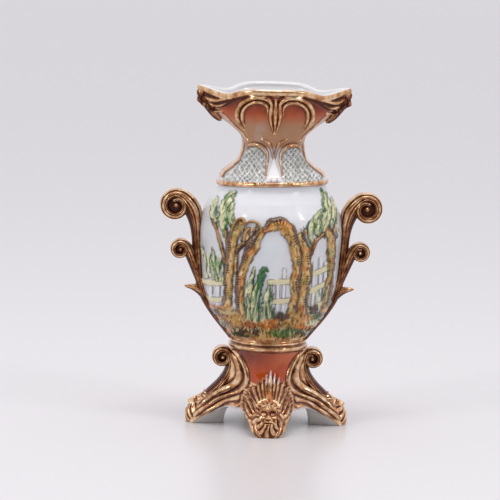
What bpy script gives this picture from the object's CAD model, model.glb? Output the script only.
"""Relief vase with volute handles, dressed in glaze, paint and lustre over its solid.

Shapes are worked out in millimetres in the solid's own frame, +Z up and the front towards -Y, and
turned to metres when they become meshes.
"""

import logging
import math
from dataclasses import dataclass, replace
from enum import Enum

import bpy
import numpy as np
from mathutils import Matrix, Vector


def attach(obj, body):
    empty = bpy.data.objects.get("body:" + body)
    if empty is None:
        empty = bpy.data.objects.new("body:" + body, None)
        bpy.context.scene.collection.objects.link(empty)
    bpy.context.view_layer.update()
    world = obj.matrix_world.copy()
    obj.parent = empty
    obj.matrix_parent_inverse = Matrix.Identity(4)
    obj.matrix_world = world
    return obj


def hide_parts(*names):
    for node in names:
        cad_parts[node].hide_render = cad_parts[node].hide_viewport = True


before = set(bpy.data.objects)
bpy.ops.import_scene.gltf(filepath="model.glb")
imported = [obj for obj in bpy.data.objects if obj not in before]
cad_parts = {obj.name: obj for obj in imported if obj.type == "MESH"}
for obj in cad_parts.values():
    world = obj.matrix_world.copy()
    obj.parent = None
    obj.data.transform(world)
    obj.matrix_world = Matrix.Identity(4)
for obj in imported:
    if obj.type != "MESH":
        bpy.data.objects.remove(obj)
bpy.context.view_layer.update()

LOG = logging.getLogger("vase")
Array = np.ndarray
Colour = tuple[float, float, float]
Cells = tuple[slice, slice]
Stations = tuple[tuple[float, ...], ...]

MM = 0.001
BODY = "root"
NODE = "vase"
WHOLE: Cells = (slice(None), slice(None))
LAYERS = ("height", "paint", "lustre", "groove")


class Slot(Enum):
    """Material slots of the record that the pieces take their finish from."""

    WHITE = "white_glaze"
    GOLD = "gold_lustre"
    ORANGE = "orange_glaze"
    PAINTED = "painted_relief"


def between(value: Array, low: float, high: float) -> Array:
    """Share of the way from low to high, kept from 0 to 1."""
    return np.clip((value - low) / (high - low), 0, 1)


def eased(value: Array, low: float, high: float) -> Array:
    """Smooth step 3t^2 - 2t^3 of the share t of the way from low to high."""
    t = between(value, low, high)
    return t * t * (3 - 2 * t)


def bump(distance: Array, spread: float) -> Array:
    """Bell exp(-(distance / spread)^2)."""
    return np.exp(-((distance / spread) ** 2))


def dome(across: Array) -> Array:
    """Half circle sqrt(1 - across^2) over -1 to 1, and 0 beyond."""
    return np.sqrt(np.clip(1 - across * across, 0, 1))


def tone(red: int, green: int, blue: int) -> Colour:
    """Linear colour of a screen colour given in 0 to 255.

    Args:
        red: Red.
        green: Green.
        blue: Blue.

    Returns:
        The colour's linear parts.
    """
    shares = [value / 255 for value in (red, green, blue)]
    linear = [v / 12.92 if v <= 0.04045 else ((v + 0.055) / 1.055) ** 2.4 for v in shares]
    return linear[0], linear[1], linear[2]


def blended(first: Array | Colour, second: Array | Colour, share: Array) -> Array:
    """Colours first + share * (second - first), for a field of shares."""
    start = np.asarray(first, float)
    return start + share[..., None] * (np.asarray(second, float) - start)


def even(shape: tuple[int, ...], colour: Colour) -> Array:
    """One colour all over a grid of this shape."""
    return np.ones((*shape, 3)) * np.array(colour)


def joined(x: Array, y: Array, z: Array) -> Array:
    """Points from their coordinates, spread over one grid, with x, y, z in the last axis."""
    return np.stack(np.broadcast_arrays(x, y, z), axis=-1)


def at_heights(points: Array, z: Array) -> Array:
    """Points moved up or down to the heights z."""
    return joined(points[..., 0], points[..., 1], z)


def cubic(knots: Array, gap: Array, values: Array, slope: Array, place: Array) -> Array:
    """Cubics between knots that take the values and slopes given at them.

    With u the share of the way and w the gap, a cubic is
    value + rise * u + u * (1 - u) * (w * ((1 - u) * slope0 - u * slope1) - rise * (1 - 2 * u)).

    Args:
        knots: Places of the given values.
        gap: Distances between them.
        values: Value, or row of values, at each.
        slope: Slope at each.
        place: Places that are asked for.

    Returns:
        The values at the places.
    """
    k = np.clip(np.searchsorted(knots, place, side="right") - 1, 0, len(knots) - 2)
    width, u = gap[k], (place - knots[k]) / gap[k]
    if values.ndim > 1:
        width, u = width[:, None], u[:, None]
    rise = values[k + 1] - values[k]
    bend = u * (1 - u) * (width * ((1 - u) * slope[k] - u * slope[k + 1]) - rise * (1 - 2 * u))
    return values[k] + rise * u + bend


def lattice_noise(u: Array, v: Array, seed: int) -> Array:
    """Random values at the corners of a unit lattice, blended between by the smooth step.

    Args:
        u: First coordinate, in pitches of the lattice.
        v: Second coordinate.
        seed: Seed of the random values.

    Returns:
        The field at each place, from 0 to 1.
    """
    cells = 64
    lattice = np.random.default_rng(seed).random((cells, cells))
    i, j = np.floor(u).astype(int), np.floor(v).astype(int)
    a, b = eased(u - i, 0, 1), eased(v - j, 0, 1)
    low = lattice[i % cells, j % cells] * (1 - a) + lattice[(i + 1) % cells, j % cells] * a
    high = lattice[i % cells, (j + 1) % cells] * (1 - a) + lattice[(i + 1) % cells, (j + 1) % cells] * a
    return low * (1 - b) + high * b


def mottle(x: Array, y: Array, size: float, seed: int) -> Array:
    """Smooth random field from 0 to 1: two lattice noises, the finer one turned against the other.

    Args:
        x: First coordinate.
        y: Second coordinate.
        size: Pitch of the coarse lattice, in the coordinates' unit.
        seed: Seed of the random values.

    Returns:
        The field at each place.
    """
    u, v = np.broadcast_arrays(np.asarray(x, float) / size, np.asarray(y, float) / size)
    turned_u, turned_v = 1.9 * (0.8 * u - 0.6 * v), 1.9 * (0.6 * u + 0.8 * v)
    return 0.64 * lattice_noise(u, v, seed) + 0.36 * lattice_noise(turned_u, turned_v, seed + 1)


@dataclass(frozen=True)
class Curve:
    """Smooth curve through (place, value) pairs that never overshoots them.

    Between two pairs it is a cubic, and its slope at a pair is the harmonic mean of the two chords'
    slopes, or flat where they turn.
    """

    points: tuple[tuple[float, float], ...]

    def __call__(self, place: Array | float) -> Array:
        """Value of the curve at each place; beyond its ends it keeps the end values.

        Args:
            place: Places that are asked for.

        Returns:
            The values.
        """
        knots, values = np.array(self.points, float).T
        gap = np.diff(knots)
        chord = np.diff(values) / gap
        before, after = chord[:-1], chord[1:]
        same = before * after > 0
        mean = np.where(same, 2 * before * after / np.where(same, before + after, 1), 0)
        slope = np.concatenate([chord[:1], mean, chord[-1:]])
        return cubic(knots, gap, values, slope, np.clip(place, knots[0], knots[-1]))


def route(stations: Stations | Array, count: int) -> Array:
    """Smooth route through stations whose first two items are a place and the rest sizes.

    Each item runs as a cubic over the square root of the distance between stations, with the slope
    at a station from the parabola through it and its neighbours. The points are then spread evenly.

    Args:
        stations: Places and sizes, one station a row.
        count: Number of points wanted.

    Returns:
        The points, one a row, with all the items.
    """
    given = np.array(stations, float)
    gap = np.sqrt(np.linalg.norm(np.diff(given[:, :2], axis=0), axis=1))
    knots = np.concatenate([[0], np.cumsum(gap)])
    chord = np.diff(given, axis=0) / gap[:, None]
    inner = (chord[:-1] * gap[1:, None] + chord[1:] * gap[:-1, None]) / (gap[:-1] + gap[1:])[:, None]
    slope = np.concatenate([chord[:1], inner, chord[-1:]])
    points = cubic(knots, gap, given, slope, np.linspace(0, knots[-1], 12 * len(given)))
    step = np.linalg.norm(np.diff(points[:, :2], axis=0), axis=1)
    travelled = np.concatenate([[0], np.cumsum(step)])
    places = np.linspace(0, travelled[-1], count)
    return np.stack([np.interp(places, travelled, item) for item in points.T], axis=1)


@dataclass(frozen=True)
class VesselForm:
    """Outer form of the foot, body and neck without relief, the same as the solid's."""

    rim_height: float = 361.0
    wall: float = 5.5
    foot_top: float = 82.0
    neck_bottom: float = 264.0
    arch_height: float = 22.0
    toe_half_angle: float = 9.0
    lip_height: float = 7.0
    side_leg: Curve = Curve((
        (0, 83), (12, 81), (22, 76), (33, 62), (41, 48.5), (50, 42), (70, 41), (82, 37.5),
    ))
    front_leg: Curve = Curve((
        (0, 85), (12, 83), (22, 78), (33, 62), (42, 46), (50, 37.5), (62, 33.5), (82, 37.5),
    ))
    leg_gap: Curve = Curve(((0, 51), (22, 51), (29, 43.5), (36, 38), (48, 34.5), (66, 34), (82, 37.5)))
    upper: Curve = Curve((
        (82, 37.5), (84, 42), (86.5, 42.6), (88.7, 40.2), (91, 41.2), (93.5, 38.5), (110, 50), (130, 63),
        (148, 70.5), (180, 73.7), (205, 75.3), (225, 73), (240, 66.5), (256, 57), (257.5, 58.8),
        (260, 59.4), (262.5, 58.2), (264, 56.5),
    ))
    neck_side: Curve = Curve((
        (264, 56.5), (269, 53.5), (275, 45), (283, 36), (297, 32.3), (307, 34.5), (315, 42), (328, 59),
        (342, 71), (356, 81),
    ))
    neck_front: Curve = Curve((
        (264, 56.5), (269, 53.5), (275, 45), (283, 36), (297, 32.3), (310, 34.5), (330, 41), (356, 51),
    ))

    def from_toe(self, angle: Array) -> Array:
        """Degrees from the middle of the nearest toe, 0 to 45."""
        turn = np.degrees(angle) % 90
        return np.minimum(turn, 90 - turn)

    def foot_edge(self, angle: Array) -> Array:
        """Height of the foot's lower edge: flat under a toe, and a cubic's arch between toes."""
        share = (45 - self.from_toe(angle)) / (45 - self.toe_half_angle)
        return np.where(share >= 1, 0, self.arch_height * (1 - share**3))

    def foot_radius(self, angle: Array, z: Array) -> Array:
        """Distance of the foot's outer face from the axis.

        The gap's profile plus a lobe exp(-(offset / spread)^power) of what the leg stands out.

        Args:
            angle: Angle about the axis, in radians.
            z: Height.

        Returns:
            The distance.
        """
        on_side = np.abs(np.cos(angle)) > math.sqrt(0.5)
        leg = np.where(on_side, self.side_leg(z), self.front_leg(z))
        up = between(z, 20, 45)
        lobe = np.exp(-((self.from_toe(angle) / (19.5 + 2.5 * up)) ** (3 - up)))
        gap = self.leg_gap(z)
        return gap + (leg - gap) * lobe

    def rim(self, angle: Array) -> Array:
        """Height of the rim, which dips between its raised middle and its raised corners."""
        return self.rim_height - 6.5 * bump(np.abs(np.cos(angle)) - 0.69, 0.22)

    def section(self, angle: Array, half_width: Array, half_depth: Array, z: Array) -> Array:
        """Point of a plan section: an ellipse, drawn out to two corners towards the mouth.

        x = half width * cos, y = half depth * |sin|^p, with p from 1 at z 300 to 1.7 at z 350.

        Args:
            angle: Angle about the axis, in radians.
            half_width: Half width.
            half_depth: Half depth.
            z: Height.

        Returns:
            The point.
        """
        power = 1 + 0.7 * between(z, 300, 350)
        across = np.sin(angle)
        y = half_depth * np.sign(across) * np.abs(across) ** power
        return joined(half_width * np.cos(angle), y, z)

    def ring_shift(self, angle: Array, z: Array) -> Array:
        """Upward shift of the ring under the neck, which sits askew and rises at the front."""
        reach = np.maximum(0, 1 - np.abs(z - 260) / 14)
        return reach * (2.5 * np.sin(angle) ** 2 + 2 * np.cos(angle))

    def outer(self, angle: Array, z: Array, inset: float | Array = 0.0) -> Array:
        """Points of the outer face, drawn in by inset.

        Args:
            angle: Angle about the axis, in radians.
            z: Height.
            inset: Depth below the face.

        Returns:
            Points as x, y, z in their last axis.
        """
        angle, z = np.broadcast_arrays(np.asarray(angle, float), np.asarray(z, float))
        low = np.where(z < self.foot_top, self.foot_radius(angle, z), self.upper(z)) - inset
        in_neck = z >= self.neck_bottom
        half_width = np.where(in_neck, self.neck_side(z) - 1.5 * inset, low)
        half_depth = np.where(in_neck, self.neck_front(z) - inset, low)
        return self.section(angle, half_width, half_depth, z + self.ring_shift(angle, z))


FORM = VesselForm()


@dataclass
class Stroke:
    """Cells of a board near a route, in the route's own coordinates."""

    cells: Cells
    distance: Array
    along: Array
    share: Array
    sizes: Array

    def across(self) -> Array:
        """Signed distance in shares of the half width, which is the first of the sizes."""
        return self.distance / self.sizes[..., 0]


@dataclass
class Board:
    """Drawing board held against one side of the vase, x across and z up.

    It carries the height of the relief, the paint, and two masks: lustre, where gold covers the
    glaze, and groove, where colour has pooled.
    """

    left: float
    right: float
    bottom: float
    top: float
    base: Colour
    pitch: float = 0.4

    def __post_init__(self) -> None:
        """Lays out the cells."""
        self.xs: Array = np.arange(self.left, self.right + self.pitch, self.pitch)
        self.zs: Array = np.arange(self.bottom, self.top + self.pitch, self.pitch)
        self.x, self.z = np.meshgrid(self.xs, self.zs)
        self.height, self.lustre, self.groove = (np.zeros(self.x.shape) for _ in range(3))
        self.paint = even(self.x.shape, self.base)

    def window(self, low: Array | tuple[float, float], high: Array | tuple[float, float]) -> Cells:
        """Cells between two corners.

        Args:
            low: Lower left corner.
            high: Upper right corner.

        Returns:
            The cells.
        """
        rows = np.searchsorted(self.zs, [low[1], high[1]])
        columns = np.searchsorted(self.xs, [low[0], high[0]])
        return slice(rows[0], rows[1]), slice(columns[0], columns[1])

    def follow(self, points: Array, reach: float) -> Stroke:
        """Cells within reach of a route, in the route's coordinates.

        The foot of the perpendicular on each straight piece is found, kept within the piece, and the
        nearest foot gives the distance. Its sign is that of the cross product with the piece, so it
        is positive on the left of the way forward.

        Args:
            points: Route as rows of x, z and sizes.
            reach: Distance that the cells are taken from.

        Returns:
            The cells with their distance, distance travelled, share of the way and sizes.
        """
        places = points[:, :2]
        cells = self.window(places.min(0) - reach, places.max(0) + reach)
        x, z = self.x[cells][..., None], self.z[cells][..., None]
        start, step = points[:-1], np.diff(points, axis=0)
        length = np.linalg.norm(step[:, :2], axis=1)
        t = ((x - start[:, 0]) * step[:, 0] + (z - start[:, 1]) * step[:, 1]) / length**2
        t = np.clip(t, 0, 1)
        dx = x - start[:, 0] - t * step[:, 0]
        dz = z - start[:, 1] - t * step[:, 1]
        nearest = np.argmin(dx * dx + dz * dz, axis=-1)

        def pick(values: Array) -> Array:
            """Value at each cell's nearest piece."""
            return np.take_along_axis(values, nearest[..., None], axis=-1)[..., 0]

        t, dx, dz = pick(t), pick(dx), pick(dz)
        side = np.sign(step[nearest, 0] * dz - step[nearest, 1] * dx)
        before = np.concatenate([[0], np.cumsum(length)])
        along = before[nearest] + t * length[nearest]
        sizes = start[nearest][..., 2:] + t[..., None] * step[nearest][..., 2:]
        return Stroke(cells, side * np.hypot(dx, dz), along, along / before[-1], sizes)

    def lift(self, cells: Cells, height: Array) -> None:
        """Raises the relief to height where it is lower."""
        np.maximum(self.height[cells], height, out=self.height[cells])

    def brush(self, cells: Cells, mask: Array, colour: Array | Colour) -> None:
        """Lays colour over the paint, as thick as the mask says."""
        self.paint[cells] = blended(self.paint[cells], colour, mask)

    def stain(self, layer: Array, cells: Cells, mask: Array) -> None:
        """Raises a mask layer to mask where it is lower."""
        np.maximum(layer[cells], mask, out=layer[cells])

    def clear(self, layer: Array, cells: Cells, mask: Array) -> None:
        """Takes a mask layer away where mask is 1."""
        layer[cells] *= 1 - mask

    def ridge(self, stations: Stations, lustre: float = 1.0, count: int = 30) -> None:
        """Half-round ridge through (x, z, half width, height), gilded, with dark lines beside it.

        Args:
            stations: Route as x, z, half width and height.
            lustre: Strength of the gold.
            count: Points along the ridge.
        """
        points = route(stations, count)
        stroke = self.follow(points, 2.2 * points[:, 2].max() + 0.8)
        across = stroke.across()
        self.lift(stroke.cells, stroke.sizes[..., 1] * dome(across))
        on = eased(1.35 - np.abs(across), 0, 0.35)
        self.stain(self.lustre, stroke.cells, lustre * on)
        self.clear(self.groove, stroke.cells, eased(1.0 - np.abs(across), 0.1, 0.5))
        ends = eased(stroke.share, 0, 0.06) * eased(1 - stroke.share, 0, 0.06)
        self.stain(self.groove, stroke.cells, bump(np.abs(across) - 1.12, 0.2) * ends)

    def sample(self, layer: Array, x: Array, z: Array) -> Array:
        """Layer's values at places, blended between the four cells round each.

        Args:
            layer: One of the board's layers.
            x: Places across.
            z: Places up.

        Returns:
            The values.
        """
        u = np.clip((x - self.xs[0]) / self.pitch, 0, len(self.xs) - 1.001)
        v = np.clip((z - self.zs[0]) / self.pitch, 0, len(self.zs) - 1.001)
        i, j = u.astype(int), v.astype(int)
        a, b = u - i, v - j
        if layer.ndim == 3:
            a, b = a[..., None], b[..., None]
        low = layer[j, i] * (1 - a) + layer[j, i + 1] * a
        high = layer[j + 1, i] * (1 - a) + layer[j + 1, i + 1] * a
        return low * (1 - b) + high * b


@dataclass
class Skin:
    """Closed surface as a grid of points, its columns joined round, with what is painted on it."""

    points: Array
    paint: Array
    lustre: Array
    groove: Array
    first_pole: Array | None = None
    last_pole: Array | None = None

    def faces(self) -> Array:
        """Corners of the grid's quads as rows of four; without poles the rows join round too.

        Returns:
            The corners.
        """
        rows, columns = self.points.shape[:2]
        number = np.arange(rows * columns).reshape(rows, columns)
        if self.first_pole is None:
            number = np.vstack([number, number[:1]])
        a, b = number[:-1], number[1:]
        quads = [a, np.roll(a, -1, 1), np.roll(b, -1, 1), b]
        return np.stack([corner.ravel() for corner in quads], axis=1)

    def caps(self) -> Array:
        """Corners of the triangles that close the ends round the poles.

        Returns:
            Rows of three, or none without poles.
        """
        if self.first_pole is None:
            return np.zeros((0, 3), int)
        rows, columns = self.points.shape[:2]
        number = np.arange(rows * columns).reshape(rows, columns)
        pole = rows * columns
        first = np.stack([np.full(columns, pole), np.roll(number[0], -1), number[0]], axis=1)
        last = np.stack([np.full(columns, pole + 1), number[-1], np.roll(number[-1], -1)], axis=1)
        return np.concatenate([first, last])

    def corners(self) -> list[Array]:
        """Points, paint, lustre and groove as flat lists, poles last.

        Returns:
            The four lists.
        """
        layers = (self.points, self.paint, self.lustre, self.groove)
        flat = [layer.reshape(-1, *layer.shape[2:]) for layer in layers]
        if self.first_pole is not None:
            ends = [np.stack([self.first_pole, self.last_pole])]
            ends += [np.stack([layer[0].mean(0), layer[-1].mean(0)]) for layer in layers[1:]]
            flat = [np.concatenate(pair) for pair in zip(flat, ends)]
        return flat


def volume(points: Array, faces: Array) -> float:
    """Six times the volume inside closed faces, from the triangles of each face's fan.

    Args:
        points: Points as x, y, z in their last axis.
        faces: Corners of the faces, one face a row.

    Returns:
        Six times the volume, below 0 when the faces point inwards.
    """
    total = 0.0
    for k in range(1, faces.shape[1] - 1):
        a, b, c = points[faces[:, 0]], points[faces[:, k]], points[faces[:, k + 1]]
        total += float(np.einsum("ij,ij->", a, np.cross(b, c)))
    return total


def linked(name: str, data: bpy.types.ID) -> bpy.types.Object:
    """New object with this data, linked to the scene.

    Args:
        name: Name of the object.
        data: Mesh, light or camera that it shows.

    Returns:
        The object.
    """
    thing = bpy.data.objects.new(name, data)
    bpy.context.scene.collection.objects.link(thing)
    return thing


def make_piece(name: str, skins: list[Skin], material: bpy.types.Material) -> None:
    """Makes a mesh piece from closed skins, smooth shaded, riding on the vase's body.

    Args:
        name: Name of the piece.
        skins: Closed skins in millimetres; one that is inside out is turned.
        material: Finish of the piece.
    """
    corners, quads, triangles = [skin.corners() for skin in skins], [], []
    count = 0
    for skin, (place, *_) in zip(skins, corners):
        four, three = skin.faces(), skin.caps()
        if volume(place, four) + volume(place, three) < 0:
            four, three = four[:, ::-1], three[:, ::-1]
        quads += (four + count).tolist()
        triangles += (three + count).tolist()
        count += len(place)
    points, paint, lustre, groove = (np.concatenate(layer) for layer in zip(*corners))
    mesh = bpy.data.meshes.new(name)
    mesh.from_pydata((points * MM).tolist(), [], quads + triangles)
    rgba = np.concatenate([np.clip(paint, 0, 1), np.ones((count, 1))], axis=1)
    layer = mesh.attributes.new("paint", "FLOAT_COLOR", "POINT")
    layer.data.foreach_set("color", rgba.astype(np.float32).ravel())
    for layer_name, values in (("lustre", lustre), ("groove", groove)):
        layer = mesh.attributes.new(layer_name, "FLOAT", "POINT")
        layer.data.foreach_set("value", np.clip(values, 0, 1).astype(np.float32))
    mesh.shade_smooth()
    mesh.materials.append(material)
    mesh.update()
    piece = linked(name, mesh)
    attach(piece, BODY)
    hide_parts(NODE)
    LOG.info("%s: %d triangles", name, 2 * len(quads) + len(triangles))


def outward(points: Array) -> Array:
    """Unit normals of a grid whose columns run round: the cross product of its two differences.

    Args:
        points: Grid of points.

    Returns:
        Normals at the points.
    """
    round_way = np.roll(points, -1, 1) - np.roll(points, 1, 1)
    up = np.gradient(points, axis=0)
    normal = np.cross(round_way, up)
    return normal / np.maximum(np.linalg.norm(normal, axis=-1, keepdims=True), 1e-9)


def dense_angles(front: int, back: int, half_span: float) -> Array:
    """Angles round the axis, closer together over the front, which is half_span each side of -Y.

    Args:
        front: Number over the front.
        back: Number over the rest.
        half_span: Half span in degrees.

    Returns:
        The angles in radians.
    """
    edge = math.radians(half_span)
    fine = np.linspace(-math.pi / 2 - edge, -math.pi / 2 + edge, front, endpoint=False)
    coarse = np.linspace(-math.pi / 2 + edge, 1.5 * math.pi - edge, back, endpoint=False)
    return np.concatenate([fine, coarse])


def facing(points: Array, front: Board, back: Board) -> list[Array]:
    """Layers of the board that faces each point: the front one, or the back one turned round.

    Args:
        points: Points as x, y, z in their last axis.
        front: Board of the front.
        back: Board of the back.

    Returns:
        Height, paint, lustre and groove at the points.
    """
    x, z, ahead = points[..., 0], points[..., 2], points[..., 1] < 0
    found = []
    for name in LAYERS:
        seen = front.sample(getattr(front, name), x, z)
        hidden = back.sample(getattr(back, name), -x, z)
        found.append(np.where(ahead[..., None] if seen.ndim == 3 else ahead, seen, hidden))
    return found


class Paints:
    """Ceramic colours of the vase."""

    SKY = tone(228, 229, 233)
    SHADE = tone(178, 184, 182)
    CLOUD = tone(236, 236, 238)
    BLUE = tone(216, 230, 236)
    WHITE = tone(220, 219, 220)
    BISQUE = tone(214, 211, 206)
    OCHRE = tone(202, 150, 80)
    CREAM = tone(230, 202, 146)
    ORANGE = tone(210, 122, 38)
    MAUVE = tone(124, 100, 90)
    INK = tone(24, 18, 16)
    UMBER = tone(70, 42, 26)
    LEAF_PALE = tone(228, 224, 180)
    LEAF = tone(72, 122, 58)
    LEAF_DARK = tone(28, 66, 44)
    TEAL = tone(50, 104, 92)
    FENCE = tone(224, 216, 178)
    FENCE_LINE = tone(84, 76, 68)
    OLIVE = tone(108, 100, 52)
    RUST = tone(172, 92, 36)
    BRONZE = tone(126, 88, 48)
    PANEL = tone(186, 70, 12)
    PANEL_DEEP = tone(98, 22, 4)
    PANEL_PALE = tone(198, 98, 46)
    TAN = tone(178, 132, 98)
    LILAC = tone(186, 164, 156)
    LATTICE = tone(158, 162, 150)
    LATTICE_DARK = tone(78, 84, 76)


def gilded(points: Array, dark: Array, poles: Array | list[Array]) -> Skin:
    """Skin with lustre all over, darker where dark is 1."""
    return Skin(points, even(dark.shape, Paints.CREAM), np.ones(dark.shape), dark, *poles)


@dataclass
class Landscape:
    """Painted relief round the body: trees, bushes, fence and ground on a board."""

    board: Board
    seed: int = 11
    trunks: tuple[Stations, ...] = (
        ((-47, 108, 6.5, 2), (-45, 138, 4.6, 3), (-44.3, 159, 4.4, 3.2), (-43.1, 185, 4.4, 3.2),
         (-41.6, 205, 5.2, 3.4), (-37, 217, 5, 3.2), (-33, 223, 3, 2.4)),
        ((-24, 112, 4.5, 2), (-30, 126, 4.6, 2.6), (-33, 145, 4.4, 3), (-31, 168, 4.2, 3.2),
         (-25.6, 188, 5, 3.6), (-19.5, 203, 6.4, 4), (-11.5, 217, 3.4, 3)),
        ((-8, 217.5, 3, 3), (-2, 222, 5.6, 4), (7, 224, 7, 4.8), (15.5, 217, 6.4, 4.6), (21, 205, 5.4, 4.2),
         (25, 190, 5, 3.8), (27, 175, 5, 3.8), (24.5, 164, 5, 3.8), (25, 146, 5, 3.6), (20, 122, 5, 2.4)),
        ((28.6, 211, 3.4, 3.4), (33.8, 197, 4.8, 3.8), (35.6, 180, 5, 4), (34.8, 160, 4.8, 3.8),
         (32.6, 140, 5.2, 3.6), (34, 112, 6.5, 2.6)),
        ((56, 216, 3, 2.4), (61, 205, 4.6, 3.4), (62, 188, 4.8, 3.6), (61.5, 166, 4.4, 3.4),
         (59.2, 142, 4.6, 3), (54, 118, 5.5, 2.4)),
    )
    boughs: tuple[Stations, ...] = (
        ((-61, 222, 1.2, 1.4), (-56, 207, 1.6, 1.8), (-51.5, 192, 1.8, 2), (-47, 174, 1.8, 1.8)),
        ((-48, 214, 1.4, 1.6), (-47, 200, 1.6, 2), (-46, 188, 1.4, 2)),
        ((-41, 189, 2.2, 3), (-35, 197, 2.6, 3.6), (-29, 203, 2.2, 3.4)),
        ((-36, 196, 1.8, 3), (-37, 180, 1.8, 2.6), (-36, 160, 1.4, 1.8)),
        ((39.5, 192, 2.4, 3.4), (43.6, 203, 2.4, 3.2), (50, 210, 2, 2.6), (57, 213, 1.6, 2)),
        ((31, 200, 1.8, 3), (29.5, 212, 1.6, 2.6), (33, 218, 1.2, 1.6)),
    )
    curls: tuple[Stations, ...] = (
        ((-42, 213, 0.6, 4.4), (-39.6, 220, 0.8, 4.8), (-36, 226, 0.9, 5), (-31.6, 227.4, 0.9, 5),
         (-29.4, 224.4, 0.8, 4.8), (-31.4, 221.8, 0.7, 4.6), (-34, 223.4, 0.5, 4.4)),
        ((-29, 221.6, 0.6, 4.8), (-24, 225.4, 0.8, 5), (-17.6, 224.6, 0.9, 5), (-13, 220, 0.8, 4.6),
         (-12.4, 216, 0.6, 4)),
        ((-29, 206, 1.0, 3.6), (-27.6, 214, 1.2, 4), (-24.4, 218, 1.0, 4)),
    )
    plumes: tuple[Stations, ...] = (
        ((-58, 213, 1.6, 2), (-61, 224, 3.6, 2.8), (-61, 234, 3.6, 2.8), (-57.4, 244, 1.2, 1.6)),
        ((-49.5, 208, 2, 2), (-51, 221, 5, 3.2), (-48.6, 235, 6.4, 3.6), (-44, 247, 5, 3),
         (-39.5, 252, 2, 1.6)),
        ((-40, 214, 1.8, 2), (-43, 224, 3.6, 3), (-43.4, 234, 3, 2.8), (-41, 241, 1.2, 1.4)),
        ((41, 204, 2, 2), (38.6, 212, 3.4, 3), (38, 221, 3.4, 2.8), (41, 228, 1.4, 1.6)),
        ((49, 209, 2, 2), (45, 218, 4, 3), (45.6, 229, 4, 3), (50, 236, 1.6, 1.6)),
        ((55, 209, 2, 2), (53.4, 220, 4.4, 3), (56, 233, 4.6, 3.2), (54, 248, 3.6, 2.6), (50, 254, 1.4, 1.4)),
        ((61, 210, 2, 2), (62.6, 221, 4, 3), (64, 233, 3.8, 2.8), (62, 244, 1.6, 1.6)),
    )
    bushes: tuple[Stations, ...] = (
        ((-17, 114, 3, 3), (-22.6, 134, 4.2, 3.8), (-22.4, 156, 3.8, 3.8), (-18.6, 177, 1.4, 2)),
        ((-12, 120, 2.6, 3), (-14.6, 142, 3.2, 3.8), (-12, 162, 4, 4), (-8, 177, 3.2, 3),
         (-4.4, 175, 1.2, 2)),
        ((-13, 114, 3, 3), (-17, 130, 3.4, 4.2), (-18, 148, 2.4, 4), (-15, 162, 1, 2)),
        ((-7, 112, 3, 3), (-8, 128, 3.6, 4.4), (-5, 146, 3.4, 4.2), (-3, 160, 1.2, 2)),
        ((1, 110, 2.6, 3), (-0.4, 124, 3, 4), (-1.6, 138, 2.6, 4), (1.6, 150, 1, 2)),
        ((5, 112, 1.6, 2), (3, 122, 2, 3), (3.4, 134, 1, 2)),
    )
    tufts: Stations = (
        (-66, 160, 0.05, 26, 1.9), (-62.4, 162, -0.1, 34, 2.2), (-59, 161, 0.1, 30, 2.2),
        (-55.6, 160, -0.05, 33, 2.2), (-52.6, 160, 0.12, 28, 1.8), (-50, 160, 0, 22, 1.4),
    )

    def __post_init__(self) -> None:
        """Starts the random draws."""
        self.random = np.random.default_rng(self.seed)

    def sky(self) -> None:
        """Pale sky, greener and greyer towards the handles, bluer in the arch, a cloud beside it."""
        board = self.board
        haze = mottle(board.x, board.z, 26, self.seed)
        edge = eased(np.abs(board.x), 40, 78) * 0.7
        board.brush(WHOLE, edge * (0.7 + 0.3 * haze), Paints.SHADE)
        blue = bump(board.x + 4, 15) * bump(board.z - 196, 22)
        board.brush(WHOLE, 0.5 * blue, Paints.BLUE)
        cloud = bump(board.x - 31, 8) * bump(board.z - 222, 12)
        board.brush(WHOLE, cloud * (0.6 + 0.4 * haze), Paints.CLOUD)

    def rail(self, ends: tuple[float, ...], half: float, paint: Colour) -> None:
        """Fence rail or post between two places: a low bar with thin dark edges.

        Args:
            ends: Both ends, as across, up, across and up.
            half: Half width of the bar.
            paint: Colour of the bar.
        """
        points = route(((*ends[:2], half), (*ends[2:], half)), 8)
        stroke = self.board.follow(points, half + 1.6)
        across = stroke.across()
        self.board.lift(stroke.cells, 1.4 * eased(1.15 - np.abs(across), 0, 0.3))
        self.board.brush(stroke.cells, eased(1.2 - np.abs(across), 0, 0.25), paint)
        broken = eased(mottle(stroke.along, stroke.distance, 7, self.seed + 3), 0.3, 0.5)
        line = 0.9 * broken * bump(np.abs(across) - 1.05, 0.4 / half)
        self.board.brush(stroke.cells, line, Paints.FENCE_LINE)

    def fence(self) -> None:
        """Three runs of rails in front of their pale posts, seen between the trees."""
        for x, low, high in (
            (-62, 128, 150), (-54.5, 128, 156), (12.6, 124, 176), (6.4, 124, 160), (43.5, 126, 181),
            (50.5, 128, 186), (56, 132, 180),
        ):
            self.rail((x, low, x, high), 1.9, Paints.SKY)
        for ends in (
            (-70, 153.5, -47, 158.5), (-68, 134, -47, 140.5), (-2, 162.5, 22, 164), (0, 142, 22, 143.5),
            (36, 168, 60, 176), (36, 150.5, 60, 160), (38, 131, 56, 139),
        ):
            self.rail(ends, 2.9, Paints.FENCE)

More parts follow.
